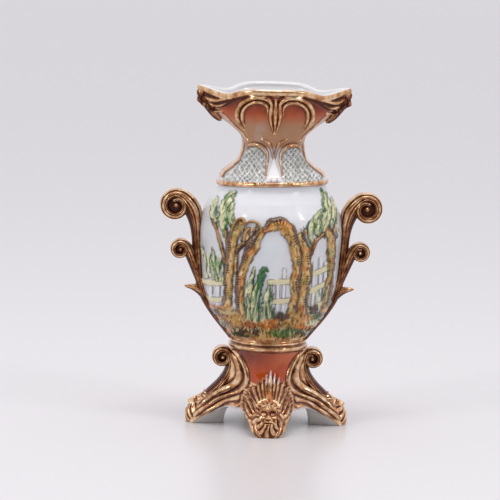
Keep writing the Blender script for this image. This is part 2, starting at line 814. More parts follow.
    def leaf(self, x: float, z: float, turn: float, length: float, half: float, rise: float,
             colour: Colour, thickness: float) -> None:
        """Leaf or blade of grass from its foot: a bent stroke, widest in the middle.

        Args:
            x: Foot, across.
            z: Foot, up.
            turn: Lean from upright, in radians, positive to the right.
            length: Length of the stroke.
            half: Half width at the middle.
            rise: Height over the ground behind it.
            colour: Paint.
            thickness: Strength of the paint.
        """
        bend = turn * np.array([0.4, 0.8, 1.2])
        steps = np.cumsum(np.stack([np.sin(bend), np.cos(bend)], axis=1), axis=0) * length / 3
        places = np.concatenate([[[x, z]], [[x, z]] + steps])
        points = np.column_stack([places, [0.35 * half, half, 0.9 * half, 0.25 * half]])
        stroke = self.board.follow(points, half + 0.8)
        across = np.abs(stroke.across())
        self.board.lift(stroke.cells, rise * dome(across))
        self.board.brush(stroke.cells, thickness * eased(1.25 - across, 0, 0.5), colour)

    def plume(self, stations: Stations, seed: int, heart: Colour, edge: Colour, outline: Colour) -> None:
        """Lobed leaf or bough: pale in the middle, darker to its scalloped edge, with slanting veins.

        Args:
            stations: Route with its half widths and heights.
            seed: Seed of the marks.
            heart: Colour of the middle.
            edge: Colour towards the edge.
            outline: Colour of the brushed outline.
        """
        points = route(stations, 26)
        stroke = self.board.follow(points, 1.5 * points[:, 2].max() + 0.8)
        s, d, side = stroke.along, stroke.distance, np.sign(stroke.distance)
        lobes = 1 + 0.1 * np.sin(2 * math.pi * s / 5.4 + side * 1.3)
        lobes = lobes + 0.5 * (mottle(s, side * 9, 5, seed) - 0.5)
        across = np.abs(stroke.across()) / lobes
        self.board.lift(stroke.cells, stroke.sizes[..., 1] * dome(across))
        marks = mottle(s * 0.24, d + 0.12 * s, 1.5, seed + 1)
        outer = np.clip(0.8 * eased(across, 0.35, 0.95) + 2.8 * (marks - 0.44), 0, 1)
        paint = blended(heart, edge, outer)
        paint = blended(paint, outline, 0.8 * eased(mottle(s * 0.3, d, 1.1, seed + 5), 0.62, 0.72))
        cover = eased(1.08 - across, 0, 0.2)
        veins = eased(np.sin(2 * math.pi * (s - 1.6 * np.abs(d)) / 3.6), 0.55, 0.95)
        gate = eased(mottle(s, d, 4, seed + 2), 0.46, 0.6)
        drawn = 0.45 + 0.55 * eased(mottle(s, side * 9, 6, seed + 3), 0.4, 0.6)
        rim = 0.9 * drawn * bump(across - 1, 0.5 / stroke.sizes[..., 0])
        specks = eased(mottle(s, d, 1.5, seed + 4), 0.72, 0.78) * eased(0.8 - across, 0, 0.2)
        for mask, colour in (
            (cover, paint), (0.5 * veins * gate * cover, outline), (rim, outline), (0.7 * specks, Paints.INK),
        ):
            self.board.brush(stroke.cells, mask, colour)

    def greenery(self) -> None:
        """Treetops at both sides, far grass, and the bushes in the arch."""
        pale, leaf, dark, teal = Paints.LEAF_PALE, Paints.LEAF, Paints.LEAF_DARK, Paints.TEAL
        for x, z, turn, length, half in self.tufts:
            lean = 2 * turn * length
            points = (
                (x, z, half * 0.8, 1.4), (x + lean, z + 0.6 * length, half, 1.8),
                (x + 2 * lean, z + length, half * 0.4, 0.6),
            )
            self.plume(points, int(200 + x), pale, Paints.SHADE if x < -62 else leaf, dark)
        for number, stations in enumerate(self.plumes):
            self.plume(stations, 60 + 7 * number, pale, leaf if number % 3 else teal, dark)
        for x, z, count in ((-60, 176, 26), (-31, 150, 12), (47, 150, 8)):
            for a, b, lean, size, _ in self.random.random((count, 5)):
                colour = (leaf, dark, pale)[int(3 * size) % 3]
                foot = x + 14 * (a - 0.5), z - 14 + 16 * b
                self.leaf(*foot, 0.5 * (lean - 0.5), 8 + 8 * size, 0.7, 1.8, colour, 0.8)
        for stations, (seed, heart, edge, outline) in zip(self.bushes, (
            (131, pale, teal, dark), (137, leaf, teal, dark), (141, pale, leaf, dark),
            (149, pale, leaf, teal), (151, pale, teal, dark), (157, pale, leaf, dark),
        )):
            self.plume(stations, seed, heart, edge, outline)
        for a, b, lean, size, shade in self.random.random((34, 5)):
            colour = (leaf, dark, pale, teal)[int(4 * shade) % 4]
            foot = -24 + 28 * a, 112 + 34 * b
            self.leaf(*foot, 0.4 * (lean - 0.5), 10 + 10 * size, 0.75, 4.4, colour, 0.75)

    def bark(self, stations: Stations, seed: int) -> None:
        """Tree trunk: a half-round ridge with knots, lit on one side and mauve on the other.

        With u across the trunk towards its shaded side, the lit side is ochre with orange patches,
        the shaded side has umber streaks, and stacks of short dark bars stand on it.

        Args:
            stations: Route with its half widths and heights.
            seed: Seed of the marks; even seeds are shaded on the right of the way up.
        """
        points = route(stations, 40)
        stroke = self.board.follow(points, 1.6 * points[:, 2].max() + 0.8)
        s, d = stroke.along, stroke.distance
        wide = 0.82 + 0.42 * mottle(s, s * 0 + seed, 9, seed)
        wide = wide + 0.36 * (mottle(s, np.sign(d) * 5, 3, seed + 6) - 0.5)
        u = stroke.across() / wide * (1 if seed % 2 else -1)
        body = dome(u)
        furrow = mottle(s * 0.35, d * 1.5, 2.2, seed + 1)
        seam = 0.2 + 1.7 * (mottle(s, s * 0, 18, seed + 8) - 0.5)
        rise = stroke.sizes[..., 1] * body - 0.6 * bump(u - seam, 0.12)
        self.board.lift(stroke.cells, rise + 0.7 * (furrow - 0.5) * eased(body, 0, 0.5))
        shaded = blended(Paints.MAUVE, Paints.UMBER, 0.85 * eased(furrow, 0.47, 0.62))
        paint = np.array(Paints.OCHRE)
        for share, colour in (
            (eased(furrow, 0.42, 0.7), Paints.CREAM),
            (0.7 * eased(mottle(s, d, 11, seed + 2), 0.52, 0.66), Paints.ORANGE),
            (0.4 * eased(mottle(s, d, 13, seed + 9), 0.6, 0.68), Paints.LEAF),
            (0.9 * eased(u, seam - 0.12, seam + 0.2), shaded),
        ):
            paint = blended(paint, colour, share)
        line = eased(mottle(s, np.sign(u) * 7, 8, seed + 5), 0.4, 0.55)
        edge = bump(np.abs(u) - 1.0, 0.7 / stroke.sizes[..., 0])
        bars = eased(np.cos(2 * math.pi * (s + 1.1 * u * u) / 2.7), 0.1, 0.6)
        stack = eased(np.sin(2 * math.pi * s / 23 + 1.9 * seed), -0.1, 0.15)
        reach = eased(u, -0.35, -0.2) * eased(0.7 - u, 0, 0.15)
        crack = eased(mottle(s * 0.28, d, 1.4, seed + 12), 0.61, 0.7) * eased(0.95 - np.abs(u), 0, 0.2)
        for mask, colour in (
            (eased(1.1 - np.abs(u), 0, 0.16), paint), ((0.5 + 0.45 * line) * edge, Paints.INK),
            (0.6 * line * bump(u - seam, 0.08), Paints.UMBER), (0.95 * bars * stack * reach, Paints.INK),
            (0.8 * crack, Paints.UMBER),
        ):
            self.board.brush(stroke.cells, mask, colour)

    def curl(self, stations: Stations) -> None:
        """Curled shoot at a treetop: a thin ochre ridge with a dark line under it.

        Args:
            stations: Route as x, z, half width and height.
        """
        points = route(stations, 30)
        stroke = self.board.follow(points, 2.4 * points[:, 2].max() + 0.6)
        across = np.abs(stroke.across())
        self.board.brush(stroke.cells, 0.85 * eased(2.1 - across, 0, 0.7), Paints.UMBER)
        self.board.lift(stroke.cells, stroke.sizes[..., 1] * dome(across))
        self.board.brush(stroke.cells, eased(1.15 - across, 0, 0.3), Paints.OCHRE)

    def mound(self, x: float, z: float, wide: float, tall: float, rise: float, colour: Colour,
              strokes: int, ink: Colour) -> None:
        """Low lump of the ground with ragged edges and brushed strokes.

        Args:
            x: Middle, across.
            z: Middle, up.
            wide: Half width.
            tall: Half height.
            rise: Height of the relief.
            colour: Paint.
            strokes: Number of brush strokes on it.
            ink: Colour of the strokes.
        """
        board = self.board
        corner = np.array([wide + 3, tall + 3])
        cells = board.window(np.array([x, z]) - corner, np.array([x, z]) + corner)
        u, v = (board.x[cells] - x) / wide, (board.z[cells] - z) / tall
        ragged = np.hypot(u, v) + 0.9 * (mottle(board.x[cells], board.z[cells], 3.6, self.seed + 5) - 0.5)
        board.lift(cells, rise * dome(np.clip(ragged, 0, 1)))
        board.brush(cells, 0.9 * eased(1.05 - ragged, 0, 0.35), colour)
        for a, b, lean, size in self.random.random((strokes, 4)):
            off = math.sqrt(b)
            px, pz = x + wide * off * math.cos(2 * math.pi * a), z + tall * off * math.sin(2 * math.pi * a)
            self.leaf(px, pz - 2, 1.2 * (lean - 0.5), 3 + 3 * size, 0.6, rise, ink, 0.85)

    def ground(self) -> None:
        """Banks under the trees in ochre, rust and olive, with lumps, tufts and a bronze edge."""
        board = self.board
        cells = board.window((-80, 88), (80, 136))
        x, z = board.x[cells], board.z[cells]
        crest = 121 + 3 * np.sin(x / 9.0) + 8 * mottle(x, x * 0, 8, self.seed + 7) + 0.0022 * x * x
        inside = eased(crest - z, -1, 2)
        lumps = mottle(x, z * 1.6, 8, self.seed + 8)
        board.lift(cells, inside * (1.0 + 3.0 * lumps))
        paint = np.array(Paints.OCHRE)
        for share, colour in (
            (0.8 * eased(lumps, 0.45, 0.65), Paints.RUST),
            (0.8 * eased(mottle(x, z * 1.4, 8, self.seed + 9), 0.5, 0.62), Paints.OLIVE),
            (0.6 * eased(mottle(x, z * 1.5, 7, self.seed + 10), 0.56, 0.7), Paints.CREAM),
            (eased(104 - z, 0, 12), Paints.BRONZE),
        ):
            paint = blended(paint, colour, share)
        board.brush(cells, inside, paint)
        ochre, orange, cream, umber = Paints.OCHRE, Paints.ORANGE, Paints.CREAM, Paints.UMBER
        ink, dark, leaf = Paints.INK, Paints.LEAF_DARK, Paints.LEAF
        for x0, z0, wide, tall, colour, strokes, mark in (
            (-38, 119, 12, 7, ochre, 10, ink), (-20, 114, 10, 6, Paints.RUST, 8, umber),
            (11.8, 126, 8, 5.5, umber, 12, ink), (44.5, 132, 6.5, 5.5, umber, 10, ink),
            (0, 117, 11, 7, orange, 8, umber), (35, 113, 9, 6, orange, 10, umber),
            (24, 118, 8, 5, ochre, 8, umber), (51, 121, 8, 7, dark, 14, leaf),
            (43, 116, 7, 4, Paints.LEAF_PALE, 6, leaf), (-48, 110, 8, 6, Paints.OLIVE, 8, ink),
            (-30, 102, 10, 6, dark, 12, ink), (-16, 108, 9, 4, umber, 12, ink),
            (14, 106, 19, 6, leaf, 30, ink), (36, 104, 9, 5, dark, 10, ink),
            (2, 98.6, 15, 3, ochre, 6, ink), (-56, 122, 6, 6, umber, 14, ink),
            (-26, 109, 7, 5, ink, 6, ochre),
        ):
            self.mound(x0, z0, wide, tall, 3.4, colour, strokes, mark)
        for a, b, lean, size, shade in self.random.random((120, 5)):
            x0, z0 = -58 + 116 * a, 97 + 24 * b
            if abs(x0) < 26 + 1.3 * (z0 - 95):
                colour = (ink, umber, cream, cream, dark)[int(5 * shade)]
                self.leaf(x0, z0, 1.6 * (lean - 0.5), 3 + 4 * size, 0.6, 2.8, colour, 0.85)

    def hollow(self) -> None:
        """Dark hollow between the two left treetops and the shade under the right ones."""
        for x, z, wide, tall in (
            (-27, 208, 5.4, 10), (-37, 213, 5, 8), (-19, 214, 6, 7), (-31.5, 219, 4.6, 5),
            (31, 214, 3.6, 4.6), (64, 212, 4.6, 9),
        ):
            self.mound(x, z, wide, tall, 3.2, Paints.MAUVE, 16, Paints.UMBER)
            self.mound(x, z, 0.8 * wide, 0.8 * tall, 1.0, Paints.MAUVE, 7, Paints.CREAM)

    def wander(self) -> None:
        """Whole landscape, far things first."""
        self.sky()
        self.fence()
        self.greenery()
        self.hollow()
        for number, stations in enumerate(self.boughs):
            self.bark(stations, 40 + number)
        for number, stations in enumerate(self.trunks):
            self.bark(stations, 21 + 2 * number)
        for stations in self.curls:
            self.curl(stations)
        self.ground()

    def plain(self) -> None:
        """Back of the vase: the sky, two bare trees and the ground."""
        self.sky()
        for stations in self.trunks[1:3]:
            points = route(tuple((x, z, 1.1 * half, rise) for x, z, half, rise in stations), 40)
            stroke = self.board.follow(points, 1.4 * points[:, 2].max())
            across = stroke.across()
            self.board.lift(stroke.cells, stroke.sizes[..., 1] * dome(across))
            paint = blended(Paints.OCHRE, Paints.MAUVE, 0.8 * eased(across, -0.1, 0.9))
            self.board.brush(stroke.cells, eased(1.2 - np.abs(across), 0, 0.4), paint)
        self.ground()


@dataclass
class PotBody:
    """Pot-bellied body from the base ring to the ring under the neck, hollow and open at the top."""

    columns: tuple[int, int] = (266, 140)
    outer_rows: int = 196
    inner_rows: int = 24
    bottom: float = 91.5
    top: float = 257.6
    floor: float = 93.0
    floor_edge: float = 98.0
    front_span: float = 82.0

    def boards(self) -> tuple[Board, Board]:
        """Painted boards of the front and of the plainer back.

        Returns:
            The two boards.
        """
        boards = [Board(-84, 84, 86, 264, Paints.SKY) for _ in range(2)]
        Landscape(boards[0]).wander()
        Landscape(boards[1], seed=12).plain()
        return boards[0], boards[1]

    def skin(self) -> Skin:
        """Outside with its relief, then the inside wall down to the floor.

        The outside is the vessel's face moved along its normal by the board's height.

        Returns:
            The closed body.
        """
        angles = dense_angles(*self.columns, self.front_span)[None]
        heights = np.linspace(self.bottom, self.top, self.outer_rows)[:, None]
        face = FORM.outer(angles, heights)
        height, paint, _, groove = facing(at_heights(face, heights), *self.boards())
        lift = height * eased(heights, 93, 96) * eased(256.5 - heights, 0, 2.5)
        shell = face + lift[..., None] * outward(face)
        inner_heights = np.linspace(self.top, self.floor_edge, self.inner_rows)[:, None]
        inside = at_heights(FORM.outer(angles, inner_heights, FORM.wall), inner_heights)
        gilt_edge = 0.85 * eased(100.5 - heights, 0, 4) * np.ones_like(lift)
        plain = np.zeros(inside.shape[:2])
        return Skin(
            np.concatenate([shell, inside]),
            np.concatenate([paint, even(plain.shape, Paints.WHITE)]),
            np.concatenate([gilt_edge, plain]),
            np.concatenate([groove, plain]),
            np.array([0, 0, self.bottom - 0.5]),
            np.array([0, 0, self.floor]),
        )

    def build(self, material: bpy.types.Material) -> None:
        """Makes the piece."""
        make_piece("pot_body", [self.skin()], material)


@dataclass
class NeckRelief:
    """Relief of the neck and mouth: loops, drop, lattice, arches and bands on a board."""

    loop: Stations = (
        (1.8, 331, 1.0, 1.6), (3.2, 343, 1.7, 3), (6.5, 349.4, 2.3, 3.8), (12, 352.4, 2.6, 4.2),
        (19, 353.2, 2.7, 4.4), (28, 350.4, 2.7, 4.4), (35.4, 344.2, 2.7, 4.4), (38.8, 336, 2.5, 4),
        (38.5, 328, 2.1, 3.2), (35, 320.5, 1.4, 2), (30, 314.5, 0.6, 0.8),
    )
    inner_loop: Stations = (
        (7.6, 334, 0.8, 1.2), (8.8, 343, 1.5, 2.6), (13.4, 347, 2.0, 3.2), (20.4, 347.8, 2.2, 3.4),
        (27.6, 344.8, 2.2, 3.4), (32.4, 338.8, 2.2, 3.4), (33.8, 331.6, 1.9, 2.8), (32.6, 324.5, 1.3, 1.8),
        (30.2, 319.5, 0.6, 0.8),
    )
    drop: Stations = ((0, 350, 1.6, 3.4), (0, 338, 2.3, 4.4), (0, 328, 2.1, 4.2), (0, 314, 0.8, 1.2))
    drop_side: Stations = ((4.2, 347, 1.7, 3), (5.0, 334, 2.0, 3.6), (3.8, 324, 1.7, 3), (0.8, 312.6, 0.7, 1))
    arch: Stations = (
        (8.8, 268, 0.7, 1), (7.8, 278, 1.0, 1.4), (6.6, 288, 1.5, 2), (9.5, 295.6, 2.2, 2.6),
        (15, 300, 2.5, 2.8), (21, 301, 2.4, 2.8), (26.4, 298, 1.7, 1.8), (29.5, 293, 0.9, 1),
    )
    swan: Stations = ((1.2, 287, 0.8, 0.8), (2.4, 296, 1.5, 1.8), (6.4, 303.4, 1.7, 2), (12.6, 307, 1.0, 1.2))
    waist_line: Stations = (
        (27, 304, 0.8, 1.2), (33, 312, 0.8, 1.2), (41, 319.5, 0.8, 1.2), (55.5, 333.5, 0.8, 1.2),
    )
    corner_leaves: tuple[Stations, ...] = (
        ((80, 356, 2, 2), (73, 349, 3, 3.4), (63, 346, 2.6, 3), (52, 347.6, 1, 1.2)),
        ((74, 347, 2, 2), (66, 341, 2.6, 3), (57, 340.6, 1.6, 2), (51, 343.6, 0.7, 0.8)),
        ((69, 338, 1.6, 2), (62, 333.6, 1.8, 2.4), (55, 334.6, 0.8, 1)),
    )
    lattice_pitch: float = 5.0

    def both(self, board: Board, stations: Stations, lustre: float = 1.0) -> None:
        """Ridge on both sides of the middle."""
        board.ridge(stations, lustre)
        board.ridge(tuple((-x, *rest) for x, *rest in stations), lustre)

    def field_colours(self, board: Board) -> None:
        """Orange under the rim, fading through tan to the waist, with pale strips at the sides.

        Args:
            board: Board that is drawn on.
        """
        x, z = np.abs(board.x), board.z
        haze = mottle(board.x, board.z, 14, 51)
        orange = blended(Paints.PANEL, Paints.PANEL_DEEP, eased(z, 326, 347))
        orange = blended(orange, Paints.PANEL_PALE, 0.4 * eased(haze, 0.45, 0.7))
        colour = blended(orange, Paints.TAN, eased(338 - z, 0, 20))
        colour = blended(colour, Paints.LILAC, 0.4 * eased(haze, 0.5, 0.7) * eased(330 - z, 0, 14))
        board.brush(WHOLE, eased(z, 296, 300), colour)
        strip = np.interp(z, [300, 303, 312.5, 335, 340], [26, 28, 37, 56, 62])
        width = np.interp(z, [300, 315, 335], [1.5, 4, 4])
        line = 0.9 * eased(x - strip, 0.5, 1.5) * eased(strip + width + 2 - x, 0, 1.5)
        board.brush(WHOLE, line * eased(z, 300, 304) * eased(341 - z, 0, 4), Paints.LILAC)

    def lattice(self, board: Board) -> None:
        """Diaper of small cushions in two slanting rows, between the ring and the arches.

        Along each diagonal d the groove is where d is a whole number of pitches.

        Args:
            board: Board that is drawn on.
        """
        cells = board.window((-62, 262), (62, 301))
        x, z = board.x[cells], board.z[cells]
        side = np.abs(x)
        top = np.interp(side, [5, 7, 10, 15, 21, 26.5, 30], [262, 289, 295, 299, 300, 296, 290])
        left = np.interp(z, [264, 278, 290], [9.5, 8, 6.5])
        right = np.interp(z, [266, 271, 278, 288, 297], [53, 46, 38, 31, 28])
        inside = eased(top - z, 0, 1) * eased(side - left, 0, 1) * eased(right - side, 0, 1)
        wobble = 3.2 * (mottle(x, z, 8, 61) - 0.5)
        rows = (
            (side + 0.8 * z + wobble) / self.lattice_pitch,
            (side - 0.8 * z - wobble) / self.lattice_pitch,
        )
        gap = np.minimum(*(np.abs(row - np.round(row)) for row in rows)) * 2
        strap = eased(0.42 - gap, 0, 0.3) * (0.55 + 0.45 * eased(mottle(x, z, 3.4, 64), 0.35, 0.55))
        board.lift(cells, 1.3 * inside * strap)
        stroke = mottle(x, z, 1.6, 62)
        pale = np.clip(0.75 * strap + 0.7 * eased(stroke, 0.5, 0.7), 0, 1)
        colour = blended(Paints.LATTICE, Paints.CLOUD, pale)
        rim = bump(gap - 0.5, 0.14) * eased(mottle(x, z, 3, 63), 0.42, 0.58)
        board.brush(cells, inside, blended(colour, Paints.LATTICE_DARK, 0.85 * rim))

    def edge_band(self, board: Board) -> None:
        """Gilded bead down the outline of the lower neck, at the last of each height's half width.

        Args:
            board: Board that is drawn on.
        """
        share = np.abs(board.x) / FORM.neck_side(board.z)
        length = eased(board.z, 264.6, 266) * eased(303 - board.z, 0, 6)
        board.lift(WHOLE, 1.6 * dome((share - 0.965) / 0.035) * length)
        board.stain(board.lustre, WHOLE, eased(share, 0.925, 0.935) * length)
        board.stain(board.groove, WHOLE, bump(share - 0.925, 0.012) * length)

    def under_lip(self, board: Board) -> None:
        """Dark gilded hollow under the lip, deeper towards the corners, with the leaves that fill them.

        Args:
            board: Board that is drawn on.
        """
        x, z = np.abs(board.x), board.z
        turn = np.linspace(math.pi / 2, 0, 60)
        mouth = FORM.outer(turn, 350.0)
        top = np.interp(x, mouth[:, 0], FORM.rim(turn)) - 7.6
        depth = 2.6 + 9 * eased(x, 36, 64)
        hollow = eased(z - top + depth, 0, 1) * eased(x, 1, 6)
        board.stain(board.lustre, WHOLE, hollow)
        board.stain(board.lustre, WHOLE, eased(z, top - 1, top))
        board.stain(board.groove, WHOLE, 0.9 * hollow * eased(top + 1.0 - z, 0, 1))
        corner = eased(x - 0.9 * (360 - z), 49, 52) * eased(z, 326, 330)
        board.stain(board.lustre, WHOLE, corner)
        board.stain(board.groove, WHOLE, 0.85 * corner * eased(top - z, 0, 1))
        for stations in self.corner_leaves:
            self.both(board, stations)

    def tear(self, board: Board) -> None:
        """White teardrop in the middle with a small gilded half moon at its foot.

        Args:
            board: Board that is drawn on.
        """
        cells = board.window((-10, 263), (10, 290))
        x, z = board.x[cells], board.z[cells]
        half = np.interp(z, [263, 266, 275, 283, 288.5], [8.6, 8.4, 5.2, 2.4, 0.3])
        inside = eased(half - np.abs(x), 0, 1.2)
        board.lift(cells, 2.2 * inside * dome(np.clip(x / (half + 0.01), -1, 1)) ** 0.5)
        board.brush(cells, inside, Paints.CLOUD)
        moon = np.hypot(x, z - 264.6)
        board.stain(board.lustre, cells, eased(4.2 - moon, 0, 0.8) * eased(moon - 2.4, 0, 0.6))

    def bands(self, board: Board) -> None:
        """Gilded bands: the ring under the neck, the strip under the lip and the lip itself.

        Args:
            board: Board that is drawn on.
        """
        z = board.z
        board.stain(board.lustre, WHOLE, eased(z, 257.6, 258.6) * eased(263.2 - z, 0, 1))
        board.stain(board.groove, WHOLE, 0.8 * bump(z - 257.3, 0.8) + 0.35 * bump(z - 263.4, 0.5))
        board.stain(board.lustre, WHOLE, eased(z, 356, 357))

    def board(self) -> Board:
        """Whole board of the neck.

        Returns:
            The board.
        """
        board = Board(-86, 86, 252, 366, Paints.WHITE)
        self.field_colours(board)
        self.lattice(board)
        self.tear(board)
        self.edge_band(board)
        self.under_lip(board)
        self.both(board, self.waist_line, 0.9)
        for stations in (self.arch, self.swan):
            self.both(board, stations, 0.7)
        for stations in (self.inner_loop, self.loop, self.drop_side):
            self.both(board, stations)
        board.ridge(self.drop)
        self.bands(board)
        return board


@dataclass
class NeckAndMouth:
    """Ring, waisted neck and flared mouth, hollow and open at both ends."""

    columns: tuple[int, int] = (250, 190)
    outer_rows: int = 150
    lip_rows: int = 16
    inner_rows: int = 44
    bottom: float = 255.5
    front_span: float = 88.0
    lip: Stations = (
        (7, 0), (6.3, 1.3), (4.8, 2.1), (2.8, 2.4), (1.1, 1.7), (0.2, 0.2), (0, -1.6), (0.6, -3.4),
        (2.2, -4.8), (4, -5.5),
    )

    def skin(self) -> Skin:
        """Outside from the ring to the lip, over the lip, and down the inside.

        The lip is a bead whose points are (drop below the rim, distance out of the flare), carried
        round the rim's own height.

        Returns:
            The tube, closed at its foot.
        """
        relief = NeckRelief().board()
        angles = dense_angles(*self.columns, self.front_span)[None]
        rim = FORM.rim(angles)
        base = rim - FORM.lip_height
        heights = self.bottom + np.linspace(0, 1, self.outer_rows)[:, None] * (base - self.bottom)
        face = FORM.outer(angles, heights, 1.6 * eased(257.2 - heights, 0, 1.2))
        height, paint, lustre, groove = facing(at_heights(face, heights), relief, relief)
        shell = face + (height * eased(heights, 257.5, 259))[..., None] * outward(face)
        drop, out = np.moveaxis(route(self.lip, self.lip_rows)[1:-1, :, None], 1, 0)
        lip = FORM.section(angles, FORM.neck_side(base) + out, FORM.neck_front(base) + out, rim - drop)
        share = np.linspace(0, 1, self.inner_rows)[:, None]
        inner_heights = rim - 4 + share * (self.bottom - rim + 4)
        inside = at_heights(FORM.outer(angles, inner_heights, FORM.wall), inner_heights)
        over = eased(np.linspace(1.0, -0.9, self.lip_rows - 2)[:, None], 0, 0.2)
        gilt = np.broadcast_to(over, lip.shape[:2])
        plain = np.zeros(inside.shape[:2])
        return Skin(
            np.concatenate([shell, lip, inside]),
            np.concatenate([paint, even(gilt.shape, Paints.WHITE), even(plain.shape, Paints.WHITE)]),
            np.concatenate([lustre, gilt, plain]),
            np.concatenate([groove, 0 * gilt, plain]),
        )

    def build(self, material: bpy.types.Material) -> None:
        """Makes the piece."""
        make_piece("neck_and_mouth", [self.skin()], material)


@dataclass
class FootRelief:
    """Relief of the foot on a board: scroll flutes, leaves over the toe and the bare panel."""

    border: Stations = (
        (41, 82.5), (35.4, 79.5), (29.4, 74), (24.8, 66.5), (21.6, 57), (21.4, 48), (25, 41), (32, 35.6),
        (41, 31.5), (52, 27), (64, 19), (76, 9),
    )
    ribs: tuple[Stations, ...] = (
        ((43, 81, 1.2), (37, 75, 2.2), (31.6, 65.5, 2.9), (29.4, 56, 3.1), (31.4, 47.6, 3.1), (39, 40.6, 3.0),
         (51, 34.4, 3.0), (64, 26, 3.0), (77, 13, 2.4)),
        ((43, 75, 1.2), (38.6, 68.5, 2.2), (35.6, 60, 2.7), (36.6, 52.6, 2.9), (42.6, 46, 2.9), (52, 40, 2.9),
         (63, 33, 2.8), (75, 21.5, 2.4)),
        ((25.5, 35, 1.2), (33, 29.6, 2.1), (42, 25.6, 2.5), (52, 20.6, 2.5), (62, 14.4, 2.4), (74, 4, 2)),
        ((28, 27.4, 1), (36, 23.6, 1.7), (46, 19.4, 1.9), (56, 13, 1.9), (66, 5, 1.8)),
        ((12, 38, 0.8), (16.6, 41.6, 1.6), (20.6, 39.6, 2), (24.4, 33.4, 2), (26.6, 26, 1.6)),
        ((15, 34, 0.8), (18.8, 34.4, 1.6), (21.6, 29, 1.9), (23, 21, 1.8), (23.6, 12, 1.4)),
    )
    leaf_tips: Stations = (
        (1.5, 34, 3.0, 62, 2.0), (-0.8, 34, -1.4, 57.5, 2.0), (4.0, 34, 7.4, 59, 2.0),
        (-3.2, 33.5, -5.4, 54, 2.3), (6.4, 33.5, 12.2, 54.5, 2.3), (-6, 33, -10.6, 50.5, 2.6),
        (9, 33, 17.6, 50, 2.6), (-9, 32, -16.4, 45.5, 3.0), (12, 32, 22.4, 44.5, 3.0),
    )
    lock_starts: Stations = ((12, 30, 0.8), (15, 24, 0.8), (16.6, 18, 0.75), (17, 12, 0.7))
    lock_steps: Stations = ((0, 0, 1.2, 2.4), (4, 7, 2.1, 3.6), (8, 11.5, 2.0, 3.2), (14, 13, 0.8, 1.2))
    beard_starts: Stations = ((7.5, 0.5, 1.0), (12.2, 0.5, 1.1), (16.4, 4, 0.9))
    beard_steps: Stations = ((0, 0, 1.5, 2.2), (2.6, 4.6, 1.9, 3.0), (4.6, 9.6, 1.6, 2.4), (5, 14, 0.7, 1))

    def flutes(self, board: Board, side: int) -> None:
        """Ribs that leave the scroll side by side and fan out down the leg, with the panel's border.

        Args:
            board: Board that is drawn on.
            side: -1 on the left, 1 on the right.
        """
        points = route(tuple((side * x, z) for x, z in self.border), 40)
        stroke = board.follow(points, 46)
        outside = side * stroke.distance
        on = eased(outside, -2.0, -1.4) * eased(side * board.x[stroke.cells], 4, 6)
        board.stain(board.lustre, stroke.cells, on)
        board.stain(board.groove, stroke.cells, 0.3 * on * eased(board.z[stroke.cells], 20, 40))
        ridges = [tuple((x, z, 1.3 * half, 1.2 * half) for x, z, half in rib) for rib in self.ribs]
        ridges.append(tuple((x, z, 2.2, 3.2) for x, z in self.border))
        for stations in ridges:
            board.ridge(tuple((side * x, *sizes) for x, *sizes in stations), count=40)

    def leaves(self, board: Board) -> None:
        """Acanthus leaves that rise from behind the mask, each with a vein on both sides.

        Args:
            board: Board that is drawn on.
        """
        for x0, z0, x1, z1, half in reversed(self.leaf_tips):
            lean, tall = x1 - x0, z1 - z0
            stations = (
                (x0, z0, 0.8 * half, 2.0), (x0 + 0.25 * lean, z0 + 0.4 * tall, 1.2 * half, 3.0),
                (x0 + 0.62 * lean, z0 + 0.78 * tall, half, 2.6), (x1, z1, 0.4, 0.8),
            )
            board.ridge(stations)
            if lean > -1:
                tip = (
                    (x0 + 0.2 * lean, z0 + 0.4 * tall, 0.5), (x0 + 0.65 * lean, z0 + 0.8 * tall, 1.0),
                    (x1, z1, 0.5),
                )
                stroke = board.follow(route(tip, 12), 2.0)
                glint = 0.8 * eased(1.3 - np.abs(stroke.across()), 0, 0.6)
                board.brush(stroke.cells, glint, Paints.CLOUD)
                board.clear(board.lustre, stroke.cells, glint)

    def wisps(self, board: Board, side: int, starts: Stations, steps: Stations) -> None:
        """Short curling ridges of one form: locks beside the leaves, or waves beside the beard.

        Args:
            board: Board that is drawn on.
            side: -1 on the left and 1 on the right.
            starts: Start of each ridge and how far it reaches, as x, z and reach.
            steps: Form at a reach of 1, as x and z from the start, half width and height.
        """
        for x, z, reach in starts:
            board.ridge(tuple(
                (side * (x + out * reach), z + up * reach, half, rise) for out, up, half, rise in steps
            ))

